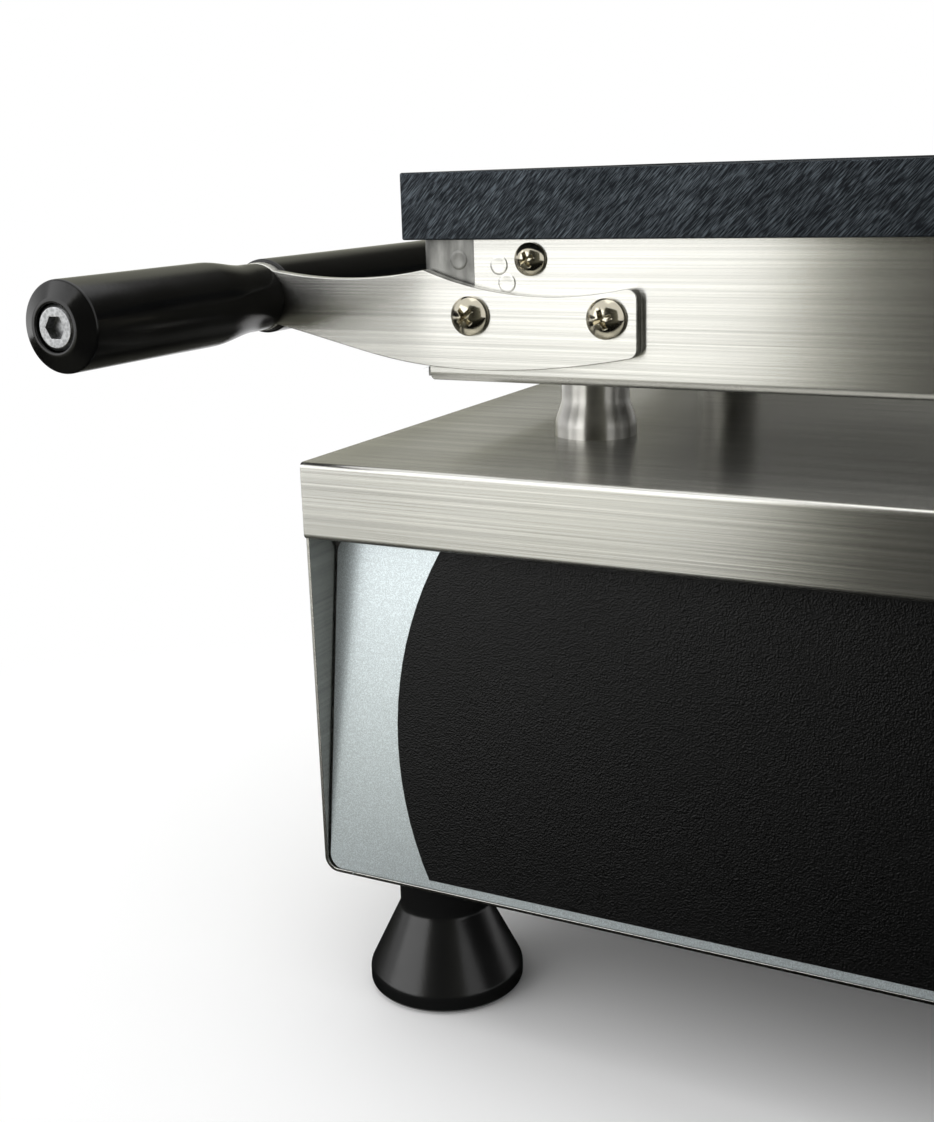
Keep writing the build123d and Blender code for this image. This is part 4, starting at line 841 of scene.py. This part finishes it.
def dial_tree():
    """Sets marks on an arc round a knob, clockwise from the top."""
    tree = Tree("Dial marks")
    count = tree.input("Count", "Int")
    gaps = tree.reckoned("SUBTRACT", count, 1.0)
    part = tree.reckoned("DIVIDE", tree.add("GeometryNodeInputIndex"), gaps)
    angle = tree.reckoned("MULTIPLY", part, tree.input("Sweep", "Float"))
    clockwise = tree.reckoned("MULTIPLY", angle, -1.0)
    turn = tree.add("FunctionNodeAxisAngleToRotation", {"Axis": UP, "Angle": clockwise})
    top = tree.add("ShaderNodeCombineXYZ", {"Y": tree.input("Radius", "Float")})
    spot = tree.add("FunctionNodeRotateVector", {"Vector": top, "Rotation": turn})
    points = tree.add("GeometryNodePoints", {"Count": count, "Position": spot})
    mark = tree.add("GeometryNodeMeshCube", {"Size": tree.input("Mark", "Vector")})
    return tree.end(tree.instanced(points, mark, turn))


def places_mesh(places):
    """A host mesh of points, each with its outward direction and its own turn."""
    points, directions, turns = zip(*places)
    mesh = bpy.data.meshes.new("places")
    mesh.from_pydata(points, [], [])
    mesh.attributes.new("outward", "FLOAT_VECTOR", "POINT").data.foreach_set("vector", sum(directions, ()))
    mesh.attributes.new("spin", "FLOAT", "POINT").data.foreach_set("value", turns)
    return mesh


def spread(template, places):
    """One mesh of a template set at many places."""
    original = shown(template, "template")
    mesh = fasteners_tree().grown(places_mesh(places), Template=original, Finish=finish_of(polished_screw))
    bpy.data.objects.remove(original)
    return mesh


# Pieces

def pan_head(radius, height, shank_radius, length):
    """A domed screw head with a cross recess, and its shank below."""
    edge = height * 0.34
    rise = height - edge
    sphere = (radius ** 2 + rise ** 2) / (2 * rise)
    reaches = [radius * (1 - step / 10) for step in range(11)]
    dome = [(reach, height - sphere + math.sqrt(sphere ** 2 - reach ** 2)) for reach in reaches]
    foot = [(0.0, -length), (shank_radius * 0.8, -length), (shank_radius, -length + shank_radius * 0.4),
            (shank_radius, 0.0), (radius * 0.97, 0.0), (radius, edge * 0.35)]
    long, short = radius * 1.12, radius * 0.27
    wings = [tapered_block((width * 0.45, across * 0.45), (width, across), height * 0.35, height * 1.02)
             for width, across in ((long, short), (short, long))]
    return softened(carved(turned(foot + dome, steps=40), *wings), radius * 0.02, 1, 40.0)


def hex_head_bolt(radius, head_radius, head_height, socket_width, socket_depth, length):
    """A socket-head bolt: the head's underside is at zero and the shank runs below it."""
    chamfer = head_radius * 0.14
    line = rounded([
        (0.0, -length), (radius, -length), (radius, 0.0), (head_radius, 0.0),
        (head_radius, head_height - chamfer), (head_radius - chamfer, head_height), (0.0, head_height),
    ], head_height * 0.03)
    socket = prism(6, socket_width, head_height - socket_depth, head_height * 1.2)
    return softened(carved(turned(line, steps=72), socket), head_radius * 0.03, 2, 40.0)


def on_panel(x, up, out):
    """A place on the front panel: X along the machine, Y up the slope, Z out of the face."""
    tilt = settings().panel.tilt
    low = corner("front_panel", 0)
    turn = Matrix(((1, 0, 0), (0, math.sin(tilt), -math.cos(tilt)), (0, math.cos(tilt), math.sin(tilt))))
    foot = Matrix.Translation((0.0, low.y, low.z + PANEL_SHEET * math.sin(tilt)))
    return foot @ turn.to_4x4() @ Matrix.Translation((x, up, out))


def controls_up():
    """How far up the slope the middle of the controls is."""
    return (on_panel(0.0, 0.0, 0.0).inverted() @ middle("timer_knob")).y


def lettering(text, height, place):
    """A raised text as a mesh."""
    curve = bpy.data.curves.new("lettering", "FONT")
    curve.body = text
    curve.size = height * FONT_SIZE_PER_HEIGHT
    curve.align_x = "CENTER"
    curve.align_y = "CENTER"
    curve.extrude = settings().panel.print_thickness / 2
    return moved(worked(shown(curve, "lettering")), place)


def dial(x, values, sweep, finer):
    """The ring of marks and numbers round a knob, with a number of finer marks from one value to the next."""
    panel = settings().panel
    centre = on_panel(x, controls_up(), FILM_SHEET + panel.print_thickness / 2)
    tree = dial_tree()
    gaps = len(values) - 1
    meshes = []
    for count, width, length in ((gaps + 1, 0.0007, 0.0032), (gaps * finer + 1, 0.00045, 0.0018)):
        mark = (width, length, panel.print_thickness)
        grown = tree.grown(bpy.data.meshes.new("host"), Count=count, Sweep=sweep, Radius=panel.dial_radius,
                           Mark=mark, Finish=finish_of(dial_print))
        meshes.append(moved(grown, centre))
    reach = panel.dial_radius + panel.number_height * 1.15
    for index, value in enumerate(values):
        angle = sweep * index / gaps
        offset = Matrix.Translation((reach * math.sin(angle), reach * math.cos(angle), 0.0))
        meshes.append(lettering(str(value), panel.number_height, centre @ offset))
    return joined(meshes)


def glow(name, *ramps):
    """A reflected brightness. Each ramp is an axis and its (place, brightness) stops; the ramps multiply."""
    material = bpy.data.materials.new(name)
    material.use_nodes = True
    nodes = Nodes(material.node_tree)
    nodes.tree.nodes.clear()
    axes = nodes.add("ShaderNodeSeparateXYZ", {"Vector": nodes.add("ShaderNodeTexCoord").outputs["Object"]})
    strength = 1.0
    for axis, stops in ramps:
        first = stops[0][0]
        whole = stops[-1][0] - first
        along = nodes.add("ShaderNodeMapRange", {"Value": axes.outputs[axis], "From Min": first,
                                                 "From Max": first + whole})
        ramp = nodes.add("ShaderNodeValToRGB", {"Fac": along})
        elements = ramp.color_ramp.elements
        for _ in stops[2:]:
            elements.new(0.5)
        for element, (position, brightness) in zip(elements, stops):
            element.position = (position - first) / whole
            element.color = (brightness, brightness, brightness, 1.0)
        strength = nodes.reckoned("MULTIPLY", strength, ramp)
    light = nodes.add("ShaderNodeEmission", {"Color": (1.0, 0.99, 0.82, 1.0), "Strength": strength})
    nodes.add("ShaderNodeOutputMaterial", {"Surface": light})
    return material


class WAFFLE_OT_stage(bpy.types.Operator):
    """Camera, lamps, floor and the cards that the metal reflects"""
    bl_idname = "waffle_maker.stage"
    bl_label = "Stage"

    def execute(self, context):
        studio = settings().studio
        context.scene.view_settings.view_transform = "Standard"
        self.camera(studio)
        self.world(studio)
        self.card("studio_floor", 30.0, 30.0, NO_MOVE, self.floor_finish(studio))
        self.softbox("front_left_softbox", (-1.05, -1.25, 0.62), 1.5, 1.3, studio.softbox_power)
        self.softbox("top_softbox", (-0.3, 0.3, 2.2), 1.8, 1.8, studio.softbox_power * 1.1)
        self.cards()
        return {"FINISHED"}

    def cards(self):
        """The cards in front of the object, under it and behind it, which only mirror-like rays meet."""
        front = glow("front_card", (0, ((-0.49, 1.0), (-0.42, 0.08), (0.2, 0.03), (1.6, 0.2))))
        ground = glow(
            "floor_card",
            (0, ((-1.6, 0.8), (-0.9, 0.25), (-0.55, 1.0), (-0.4, 1.0), (-0.3, 0.04), (1.5, 0.2))),
            (1, ((-1.32, 1.0), (-0.75, 0.85), (-0.5, 0.2), (-0.2, 0.04), (0.3, 0.1))))
        back = glow(
            "back_card",
            (0, ((-1.5, 0.9), (-0.6, 0.85), (-0.4, 0.13), (1.2, 0.06))),
            (2, ((0.22, 1.0), (0.28, 0.85), (0.35, 0.65), (0.5, 0.4), (0.92, 0.8))))
        cards = [
            self.card("front_card", 2.09, 1.7, placed(0.555, -1.33, 0.84, (0.0, 1.0, 0.0)), front),
            self.card("floor_card", 3.1, 1.62, placed(-0.05, -0.51, 0.002), ground),
            self.card("back_card", 2.7, 0.7, placed(-0.15, 0.6, 0.57, (0.0, -1.0, 0.0)), back),
        ]
        for card in cards:
            for ray in ("camera", "diffuse", "shadow", "transmission"):
                setattr(card, "visible_" + ray, False)
        return cards

    def floor_finish(self, studio):
        """A pale floor that keeps its shadows near the object and is as white as the backdrop farther out."""
        finish = Finish("studio_floor", studio.floor_tone, 0.0, 0.8)
        finish.tint(finish.noise(0.3), 0.995, 1.0)
        place = finish.stretched((1.0, 0.45, 1.0))
        reach = finish.add("ShaderNodeVectorMath", {0: place}, operation="LENGTH").outputs["Value"]
        far = finish.between(reach, 0.0, 1.0, studio.shadow_start, studio.shadow_end)
        seen_far = finish.reckoned("MULTIPLY", far, finish.seen_ray())
        white = finish.add("ShaderNodeEmission", {"Strength": studio.backdrop})
        mix = finish.add("ShaderNodeMixShader", {0: seen_far, 1: finish.shader, 2: white})
        finish.feed(finish.tree.nodes["Material Output"], {"Surface": mix})
        return finish.material

    def camera(self, studio):
        """The camera at the place that the photograph's vanishing points give."""
        data = bpy.data.cameras.new("Camera")
        data.lens = studio.lens
        data.sensor_width = 36.0
        data.clip_start = 0.01
        camera = shown(data, "Camera")
        right = Vector((0.88413, 0.46624, -0.03045)).normalized()
        back = right.cross(Vector((-0.09375, 0.24086, 0.96602))).normalized()
        turn = Matrix((right, back.cross(right), back)).transposed().to_4x4()
        camera.matrix_world = Matrix.Translation((-0.0177, -0.50155, 0.279)) @ turn
        bpy.context.scene.camera = camera

    def world(self, studio):
        """Even light from all round, in front of a white backdrop."""
        world = bpy.data.worlds.new("Studio")
        bpy.context.scene.world = world
        world.use_nodes = True
        nodes = Nodes(world.node_tree)
        ambient = nodes.tree.nodes["Background"]
        nodes.feed(ambient, {"Color": WHITE, "Strength": studio.ambient})
        seen = nodes.add("ShaderNodeBackground", {"Color": WHITE, "Strength": studio.backdrop})
        mix = nodes.add("ShaderNodeMixShader", {0: nodes.seen_ray(), 1: ambient, 2: seen})
        nodes.feed(nodes.tree.nodes["World Output"], {"Surface": mix})

    def card(self, name, width, height, place, material):
        """A flat rectangle of the stage."""
        shape = bmesh.new()
        shape.faces.new(rectangle(shape, width, height, 0.0))
        shape.transform(place)
        mesh = mesh_from(shape, name, outward=False)
        mesh.materials.append(material)
        return shown(mesh, name)

    def softbox(self, name, place, width, height, power):
        """A large soft lamp that looks at the middle of the object."""
        data = bpy.data.lights.new(name, "AREA")
        data.shape = "RECTANGLE"
        data.size = width
        data.size_y = height
        data.energy = power
        lamp = shown(data, name)
        aim = (Vector((0.0, 0.0, 0.2)) - Vector(place)).to_track_quat("-Z", "Y")
        lamp.matrix_world = Matrix.Translation(place) @ aim.to_matrix().to_4x4()
        lamp.visible_camera = False


class WAFFLE_OT_base_sheets(bpy.types.Operator):
    """The base's outer shell, top cover and rear panel"""
    bl_idname = "waffle_maker.base_sheets"
    bl_label = "Base sheets"

    def execute(self, context):
        edge = settings().steel.cut_edge
        reformed("base_shell", steel_along_y, edge)
        self.cover(edge)
        reformed("rear_panel", steel_along_x, edge)
        return {"FINISHED"}

    def cover(self, edge):
        """The top with its front and rear lips, and the narrower returns under the lips."""
        low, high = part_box("top_cover")
        bend = 0.003
        hem = 0.0052
        return_width = 0.0045
        return_inset = 0.00675
        lip = [(low.y + hem, low.z), (low.y, low.z), (low.y, high.z), (high.y, high.z), (high.y, low.z),
               (high.y - hem, low.z)]
        parts = [folded(lip, BASE_SHEET, bend, low.x, high.x)]
        return_size = (high.x - low.x - 2 * bend, return_width)
        for y in (low.y + return_inset, high.y - return_inset):
            strip = tapered_block(return_size, return_size, low.z, low.z + BASE_SHEET)
            parts.append(moved(strip, placed(0.0, y, 0.0)))
        mesh = softened(joined(parts), edge, 2, 50.0)
        finished("top_cover_folded", mesh, steel_of_cover, "top_cover")


class WAFFLE_OT_front_panel(bpy.types.Operator):
    """The silver front panel, its dark film and the dial marks"""
    bl_idname = "waffle_maker.front_panel"
    bl_label = "Front panel"

    def execute(self, context):
        reformed("front_panel", silver_paint, 0.0003)
        reformed("fascia_overlay", textured_film, 0.0001)
        timer = dial(middle("timer_knob").x, range(6), math.radians(300), 2)
        heat = dial(middle("thermostat_knob").x, range(0, 301, 50), math.radians(270), 5)
        finished("dial_marks", joined([timer, heat]), dial_print, body="base", slot="white_moulding")
        return {"FINISHED"}


class WAFFLE_OT_controls(bpy.types.Operator):
    """Timer, thermostat, knobs, switch and pilot lamps"""
    bl_idname = "waffle_maker.controls"
    bl_label = "Controls"

    def execute(self, context):
        dressed("timer", "thermostat")
        for knob in ("timer_knob", "thermostat_knob"):
            reformed(knob, knob_moulding, 0.0003)
            self.pointer(knob)
        reformed("power_switch", black_moulding, 0.0003)
        reformed("switch_rocker", switch_red, 0.0004)
        self.lamps()
        return {"FINISHED"}

    def pointer(self, knob):
        """The white line on a knob's face."""
        width, length, thickness, taper = 0.0014, 0.0095, 0.0008, 0.0002
        middle_radius, face = 0.0099, 0.0187
        line = tapered_block((width, length), (width - taper, length - taper), 0.0, thickness)
        place = on_panel(middle(knob).x, controls_up() + middle_radius, face)
        finished(knob + "_pointer", moved(softened(line, 0.0001), place), dial_print, body=body_of(knob),
                 slot="white_moulding")

    def lamps(self):
        """Two lamps, one above the other, each a domed lens in a black bezel."""
        lens, hole, rim = 0.0044, 0.0048, 0.0065
        seat, dome_rise = 0.0008, 0.0036
        depth, spacing = 0.02, 0.03
        ring = rounded([(hole, -depth), (hole, -0.001), (hole, 0.0), (rim, 0.0), (rim - 0.0002, 0.0012),
                        (0.0052, 0.0014), (lens, seat), (lens, 0.0005 - depth), (hole, -depth)], 0.0003)
        angles = [math.radians(10 * step) for step in range(9)]
        dome = [(lens * math.cos(angle), seat + dome_rise * math.sin(angle)) for angle in angles]
        lens_line = [(0.0, 0.001 - depth), (lens, 0.001 - depth)] + dome + [(0.0, seat + dome_rise)]
        x = middle("pilot_lamps").x
        places = [on_panel(x, controls_up() + side * spacing / 2, FILM_SHEET) for side in (-1, 1)]
        bezels = joined([turned(ring[:-1], place, 56, closed=True) for place in places])
        lenses = joined([turned(lens_line, place, 48) for place in places])
        finished("pilot_lamp_bezels", bezels, black_moulding, body="base", slot="black_moulding")
        finished("pilot_lamp_lenses", lenses, lamp_lens, "pilot_lamps")


class WAFFLE_OT_feet(bpy.types.Operator):
    """The four moulded feet"""
    bl_idname = "waffle_maker.feet"
    bl_label = "Feet"

    def execute(self, context):
        stand = settings().stand
        hole_radius, hole_depth = 0.0045, 0.022
        for node in [f"foot_{end}_{side}" for end in ENDS for side in SIDES]:
            low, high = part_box(node)
            centre = middle(node)
            radius = (high.x - low.x) / 2
            line = rounded([
                (0.0, 0.0), (radius - 0.0025, 0.0), (radius, 0.0016), (radius, stand.rim_height),
                (stand.collar_radius, high.z - stand.collar_height), (stand.collar_radius, high.z),
                (hole_radius, high.z), (hole_radius, high.z - hole_depth), (0.0, high.z - hole_depth),
            ], 0.0011)
            turned_piece(node + "_moulded", line, foot_moulding, node, placed(centre.x, centre.y, 0.0))
        return {"FINISHED"}


class WAFFLE_OT_posts(bpy.types.Operator):
    """The four turned posts that an iron rests on"""
    bl_idname = "waffle_maker.posts"
    bl_label = "Support posts"

    def execute(self, context):
        stand = settings().stand
        radius = stand.post_radius
        chamfer, foot_chamfer = 0.0005, 0.0003
        for node in [f"support_post_{side}_{end}" for side in SIDES for end in ENDS]:
            low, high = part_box(node)
            centre = middle(node)
            foot_radius = (high.x - low.x) / 2
            height = high.z - low.z
            flare = swelling(foot_radius, radius, stand.post_foot_height, stand.post_flare_height)
            top = rounded([(radius, height - 4 * chamfer), (radius, height - chamfer),
                           (radius - chamfer, height), (0.0, height)], 0.0002, 3)
            foot = [(0.0, 0.0), (foot_radius - foot_chamfer, 0.0), (foot_radius, foot_chamfer)]
            line = foot + flare + top
            turned_piece(node + "_turned", line, turned_steel, node, placed(centre.x, centre.y, low.z),
                         smooth=24.0)
        return {"FINISHED"}


class WAFFLE_OT_hinge(bpy.types.Operator):
    """Pillars, axle, dome nuts and the irons' ears"""
    bl_idname = "waffle_maker.hinge"
    bl_label = "Hinge"

    def execute(self, context):
        for end in ENDS:
            reformed("hinge_pillar_" + end, turned_steel, 0.0006)
            for side in SIDES:
                reformed(f"{side}_hinge_ear_{end}", steel_along_x, settings().steel.bracket_edge)
        reformed("hinge_axle", turned_steel, 0.0)
        reformed("axle_nuts", polished_screw, 0.0)
        return {"FINISHED"}


class WAFFLE_OT_rear_inlet(bpy.types.Operator):
    """The cable gland, terminals and the base's bolts"""
    bl_idname = "waffle_maker.rear_inlet"
    bl_label = "Rear inlet and bolts"

    def execute(self, context):
        reformed("cable_gland", black_moulding, 0.0003)
        dressed("terminal_block", "base_bolts")
        return {"FINISHED"}


class WAFFLE_OT_casings(bpy.types.Operator):
    """The folded casings and their end caps"""
    bl_idname = "waffle_maker.casings"
    bl_label = "Casings"

    def execute(self, context):
        edge = settings().steel.cut_edge
        for side in SIDES:
            reformed(side + "_casing", steel_along_x, edge)
            # The end caps and their welds take the mill steel whose darker tone is painted shade.
            reformed(side + "_end_cap", mill_steel, edge)
            self.welds(side, "_end_cap", mill_steel, ((0.0109, 0.0064),))
            self.welds(side, "_casing", steel_along_x, ((0.0254, 0.0078), (0.028, 0.0132)))
        return {"FINISHED"}

    def welds(self, side, sheet, recipe, spots):
        """Dished marks of spot welds, each so far from the casing's end and so far below the sheet's top."""
        node = side + sheet
        radius = settings().steel.weld_radius
        line = [(0.0, 0.00003), (radius * 0.6, 0.00004), (radius * 0.85, 0.00012), (radius, 0.00009),
                (radius * 1.15, 0.0), (0.0, -0.0002)]
        marks = []
        for inset, drop in spots:
            for outward in ENDS.values():
                face = corner(node, outward > 0).y
                x = MIRROR[side] * (outer_end(side + "_casing") - inset)
                marks.append(turned(line, placed(x, face, corner(node, 1).z - drop, (0, outward, 0)), 48))
        finished(node + "_welds", joined(marks), recipe, body=body_of(node), slot="brushed_stainless")


class WAFFLE_OT_plates(bpy.types.Operator):
    """The cast plates with their waffle cavities and studs"""
    bl_idname = "waffle_maker.plates"
    bl_label = "Plates"

    def execute(self, context):
        left = self.plate()
        finished("left_plate_cast", left, ground_iron, "left_plate", smooth=40.0)
        finished("right_plate_cast", mirrored(left), ground_iron, "right_plate", smooth=40.0)
        return {"FINISHED"}

    def plate(self):
        """The left plate: a block with two pockets, and studs on their floors."""
        iron = settings().iron
        low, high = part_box("left_plate")
        centre = middle("left_plate")
        size = (high.x - low.x, high.y - low.y)
        block = softened(tapered_block(size, size, corner("left_casing", 1).z, high.z), iron.ground_edge, 2)
        block = moved(block, placed(centre.x, centre.y, 0.0))
        narrowing = 2 * iron.cavity_depth * math.tan(iron.draft)
        floor_size = (iron.cavity_width - narrowing, iron.cavity_length - narrowing)
        floor_z = high.z - iron.cavity_depth
        over = 0.002
        widening = 2 * over * math.tan(iron.draft)
        mouth_size = (iron.cavity_width + widening, iron.cavity_length + widening)
        pocket = tapered_block(floor_size, mouth_size, floor_z, high.z + over)
        pocket_rounding = 0.0014
        rim_rounding = 0.0004
        pocket = softened(pocket, pocket_rounding, 3)
        offset = (iron.cavity_width + iron.cavity_spacing) / 2
        middles = (centre.x - offset, centre.x + offset)
        pockets = [moved(pocket, placed(x, centre.y, 0.0)) for x in middles]
        block = softened(carved(block, *pockets), rim_rounding, 2, 50.0)
        pitch = (floor_size[0] / iron.columns, floor_size[1] / iron.rows)
        stud = shown(self.stud(iron, pitch), "stud")
        for x in middles:
            block = studs_tree().grown(
                block, Stud=stud, Columns=iron.columns, Rows=iron.rows, Width=pitch[0] * (iron.columns - 1),
                Length=pitch[1] * (iron.rows - 1), Place=(x, centre.y, floor_z),
                Finish=finish_of(ground_iron),
            )
        bpy.data.objects.remove(stud)
        return block

    def stud(self, iron, pitch):
        """One stud, rooted a little under the cavity's floor."""
        slope = math.radians(22)
        root_depth, root_spread = 0.001, 0.0008
        lean = 2 * iron.stud_height * math.tan(slope)
        foot = [step - iron.stud_groove + root_spread for step in pitch]
        crest = [step - iron.stud_groove - lean for step in pitch]
        return softened(tapered_block(foot, crest, -root_depth, iron.stud_height), iron.stud_rounding, 3)


class WAFFLE_OT_heating(bpy.types.Operator):
    """Elements, clamps, insulation and temperature bulbs"""
    bl_idname = "waffle_maker.heating"
    bl_label = "Heating parts"

    def execute(self, context):
        dressed("left_thermostat_bulb", "right_cutout_bulb")
        for side in SIDES:
            dressed(side + "_heater", side + "_heater_clamp", side + "_insulation")
        return {"FINISHED"}


class WAFFLE_OT_brackets(bpy.types.Operator):
    """The curved brackets between the casings and the bars"""
    bl_idname = "waffle_maker.brackets"
    bl_label = "Handle brackets"

    def execute(self, context):
        for side in SIDES:
            for end in ENDS:
                reformed(f"{side}_bracket_{end}", steel_along_x, settings().steel.bracket_edge)
        return {"FINISHED"}


class WAFFLE_OT_handles(bpy.types.Operator):
    """Grips, bars and their long bolts"""
    bl_idname = "waffle_maker.handles"
    bl_label = "Handles"

    def execute(self, context):
        for side in SIDES:
            self.grip(side + "_handle_grip")
            self.bar(side + "_handle_bar")
            self.bolt(side)
        return {"FINISHED"}

    def along(self, node):
        """A grip's or bar's radius, its length, and its rear end's place, looking to the front."""
        low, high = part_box(node)
        centre = middle(node)
        return (high.x - low.x) / 2, high.y - low.y, placed(centre.x, high.y, centre.z, (0, -1, 0))

    def grip(self, node):
        """The hollow grip: a neck that swells to the handhold, and a recess for the bolt's head."""
        handle = settings().handle
        radius, length, place = self.along(node)
        hole = handle.bolt_radius + BOLT_CLEARANCE
        seat = length - handle.recess_depth
        taper = swelling(handle.neck_radius, radius, handle.neck_length, handle.taper_length)
        front = rounded([
            (radius, length * 0.6), (radius, length - handle.chamfer_length),
            (radius - handle.chamfer_width, length), (handle.recess_radius, length),
            (handle.recess_radius, seat), (hole, seat), (hole, 0.0),
        ], 0.0006)
        edge = 0.0004
        neck = [(hole, 0.0), (handle.neck_radius - edge, 0.0), (handle.neck_radius, edge)]
        line = neck + taper + front[:-1]
        turned_piece(node + "_turned", line, grip_moulding, node, place, closed=True)

    def bar(self, node):
        """The cross tube between the brackets, which the bolt runs through."""
        radius, length, place = self.along(node)
        hole = settings().handle.bolt_radius + BOLT_CLEARANCE
        line = rounded([(hole, 0.0), (radius, 0.0), (radius, length), (hole, length), (hole, 0.0)], 0.0008)
        turned_piece(node + "_turned", line[:-1], grip_moulding, node, place, closed=True)

    def bolt(self, side):
        """The long bolt, and the dome nut on its rear end."""
        handle = settings().handle
        nut_width, nut_height = 0.013, 0.0063
        dome_foot, dome_radius = 0.004, 0.0055
        past_bracket = 0.005
        node = side + "_handle_bolt"
        centre = middle(side + "_handle_grip")
        seat = corner(side + "_handle_grip", 0).y + handle.recess_depth
        rear = corner(side + "_bracket_rear", 1).y
        bolt = hex_head_bolt(handle.bolt_radius, handle.head_radius, handle.head_height, handle.socket_width,
                             handle.socket_depth, rear + past_bracket - seat)
        bolt = moved(bolt, placed(centre.x, seat, centre.z, (0, -1, 0)))
        end = corner(node, 1).y - rear
        dome = rounded([(0.0, dome_foot), (dome_radius, dome_foot), (dome_radius, 0.0064),
                        (0.0048, end - 0.0008), (0.0024, end), (0.0, end)], 0.0012)
        nut = joined([softened(prism(6, nut_width, 0.0, nut_height), 0.0004), turned(dome, steps=56)])
        nut = moved(nut, placed(centre.x, rear, centre.z, (0, 1, 0)))
        finished(node + "_made", joined([bolt, nut]), zinc_plate, node)


class WAFFLE_OT_screws(bpy.types.Operator):
    """All pan-head screws of the casings, brackets, ears and rear panel"""
    bl_idname = "waffle_maker.screws"
    bl_label = "Screws"

    def execute(self, context):
        fastener = settings().fastener
        small = pan_head(fastener.small_radius, fastener.small_height, shank_radius=0.0024, length=0.009)
        large = pan_head(fastener.large_radius, fastener.large_height, shank_radius=0.0029, length=0.012)
        nut = softened(prism(6, width=0.010, low=-0.0112, high=-0.0064), 0.0003)
        for side in SIDES:
            self.screws(side + "_casing_screws", self.casing_places(side), small)
            self.screws(side + "_bracket_screws", self.bracket_places(side), large, nut)
        self.screws("rear_panel_screws", self.rear_places(), small)
        return {"FINISHED"}

    def screws(self, node, places, *templates):
        """Stands templates, set at all places, in a node's place."""
        meshes = [spread(template, places) for template in templates]
        finished(node + "_set", joined(meshes), polished_screw, node)

    def casing_places(self, side):
        """The lug screws of one casing and the screws of its ears. Each has a turn of its own."""
        screw_drop = 0.006
        ear_rise = 0.019
        ear_insets = (0.01, 0.034)
        low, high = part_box(side + "_casing")
        iron_x = abs(middle(side + "_plate").x)
        offset = outer_end(side + "_end_cap") - iron_x - BASE_SHEET - END_CAP_FLANGE - LUG_WIDTH / 2
        inner = min(abs(low.x), abs(high.x))
        places = []
        for end, outward in ENDS.items():
            face = corner(side + "_casing", outward > 0).y
            for x in (iron_x - offset, iron_x + offset):
                turn = 0.5 + 7 * x
                places.append(((MIRROR[side] * x, face, high.z - screw_drop), (0, outward, 0), turn))
            ear_face = corner(f"{side}_hinge_ear_{end}", outward > 0).y
            for x in (inner + inset for inset in ear_insets):
                turn = 1.1 + 9 * x
                places.append(((MIRROR[side] * x, ear_face, low.z + ear_rise), (0, outward, 0), turn))
        return places

    def bracket_places(self, side):
        """The two larger screws of each handle bracket."""
        drop = 0.0047
        z = middle(side + "_handle_grip").z - drop
        end_cap = outer_end(side + "_end_cap")
        places = []
        for end, outward in ENDS.items():
            face = corner(f"{side}_bracket_{end}", outward > 0).y
            for inset, turn in ((0.0192, 0.75), (0.0645, 0.35)):
                places.append(((MIRROR[side] * (end_cap - inset), face, z), (0, outward, 0), turn))
        return places

    def rear_places(self):
        """The four screws of the rear panel."""
        low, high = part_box("rear_panel_screws")
        inset = 0.005
        face = corner("rear_panel", 1).y
        return [((side * (high.x - inset), face, z), (0, 1, 0), 0.4 + z * 5)
                for side in (-1, 1) for z in (low.z + inset, high.z - inset)]


OPERATORS = (
    WAFFLE_OT_stage, WAFFLE_OT_base_sheets, WAFFLE_OT_front_panel, WAFFLE_OT_controls, WAFFLE_OT_feet,
    WAFFLE_OT_posts, WAFFLE_OT_hinge, WAFFLE_OT_rear_inlet, WAFFLE_OT_casings, WAFFLE_OT_plates,
    WAFFLE_OT_heating, WAFFLE_OT_brackets, WAFFLE_OT_handles, WAFFLE_OT_screws,
)


class WAFFLE_PT_pieces(bpy.types.Panel):
    """Lists the pieces of the waffle maker"""
    bl_idname = "WAFFLE_PT_pieces"
    bl_label = "Waffle maker"
    bl_space_type = "VIEW_3D"
    bl_region_type = "UI"
    bl_category = "Waffle maker"

    def draw(self, context):
        for operator in OPERATORS:
            self.layout.operator(operator.bl_idname)


CLASSES = (
    SheetSteelSettings, PanelSettings, IronSettings, HandleSettings, FastenerSettings, StandSettings,
    StudioSettings, WaffleMakerSettings, *OPERATORS, WAFFLE_PT_pieces,
)


def register():
    """Makes the classes and their settings known to Blender."""
    for item in CLASSES:
        bpy.utils.register_class(item)
    bpy.types.Scene.waffle_maker = PointerProperty(type=WaffleMakerSettings)


def unregister():
    """Takes the classes and their settings away again."""
    del bpy.types.Scene.waffle_maker
    for item in reversed(CLASSES):
        bpy.utils.unregister_class(item)


def main():
    """Builds every piece."""
    register()
    for operator in OPERATORS:
        group, name = operator.bl_idname.split(".")
        getattr(getattr(bpy.ops, group), name)()


if __name__ == "__main__":
    main()
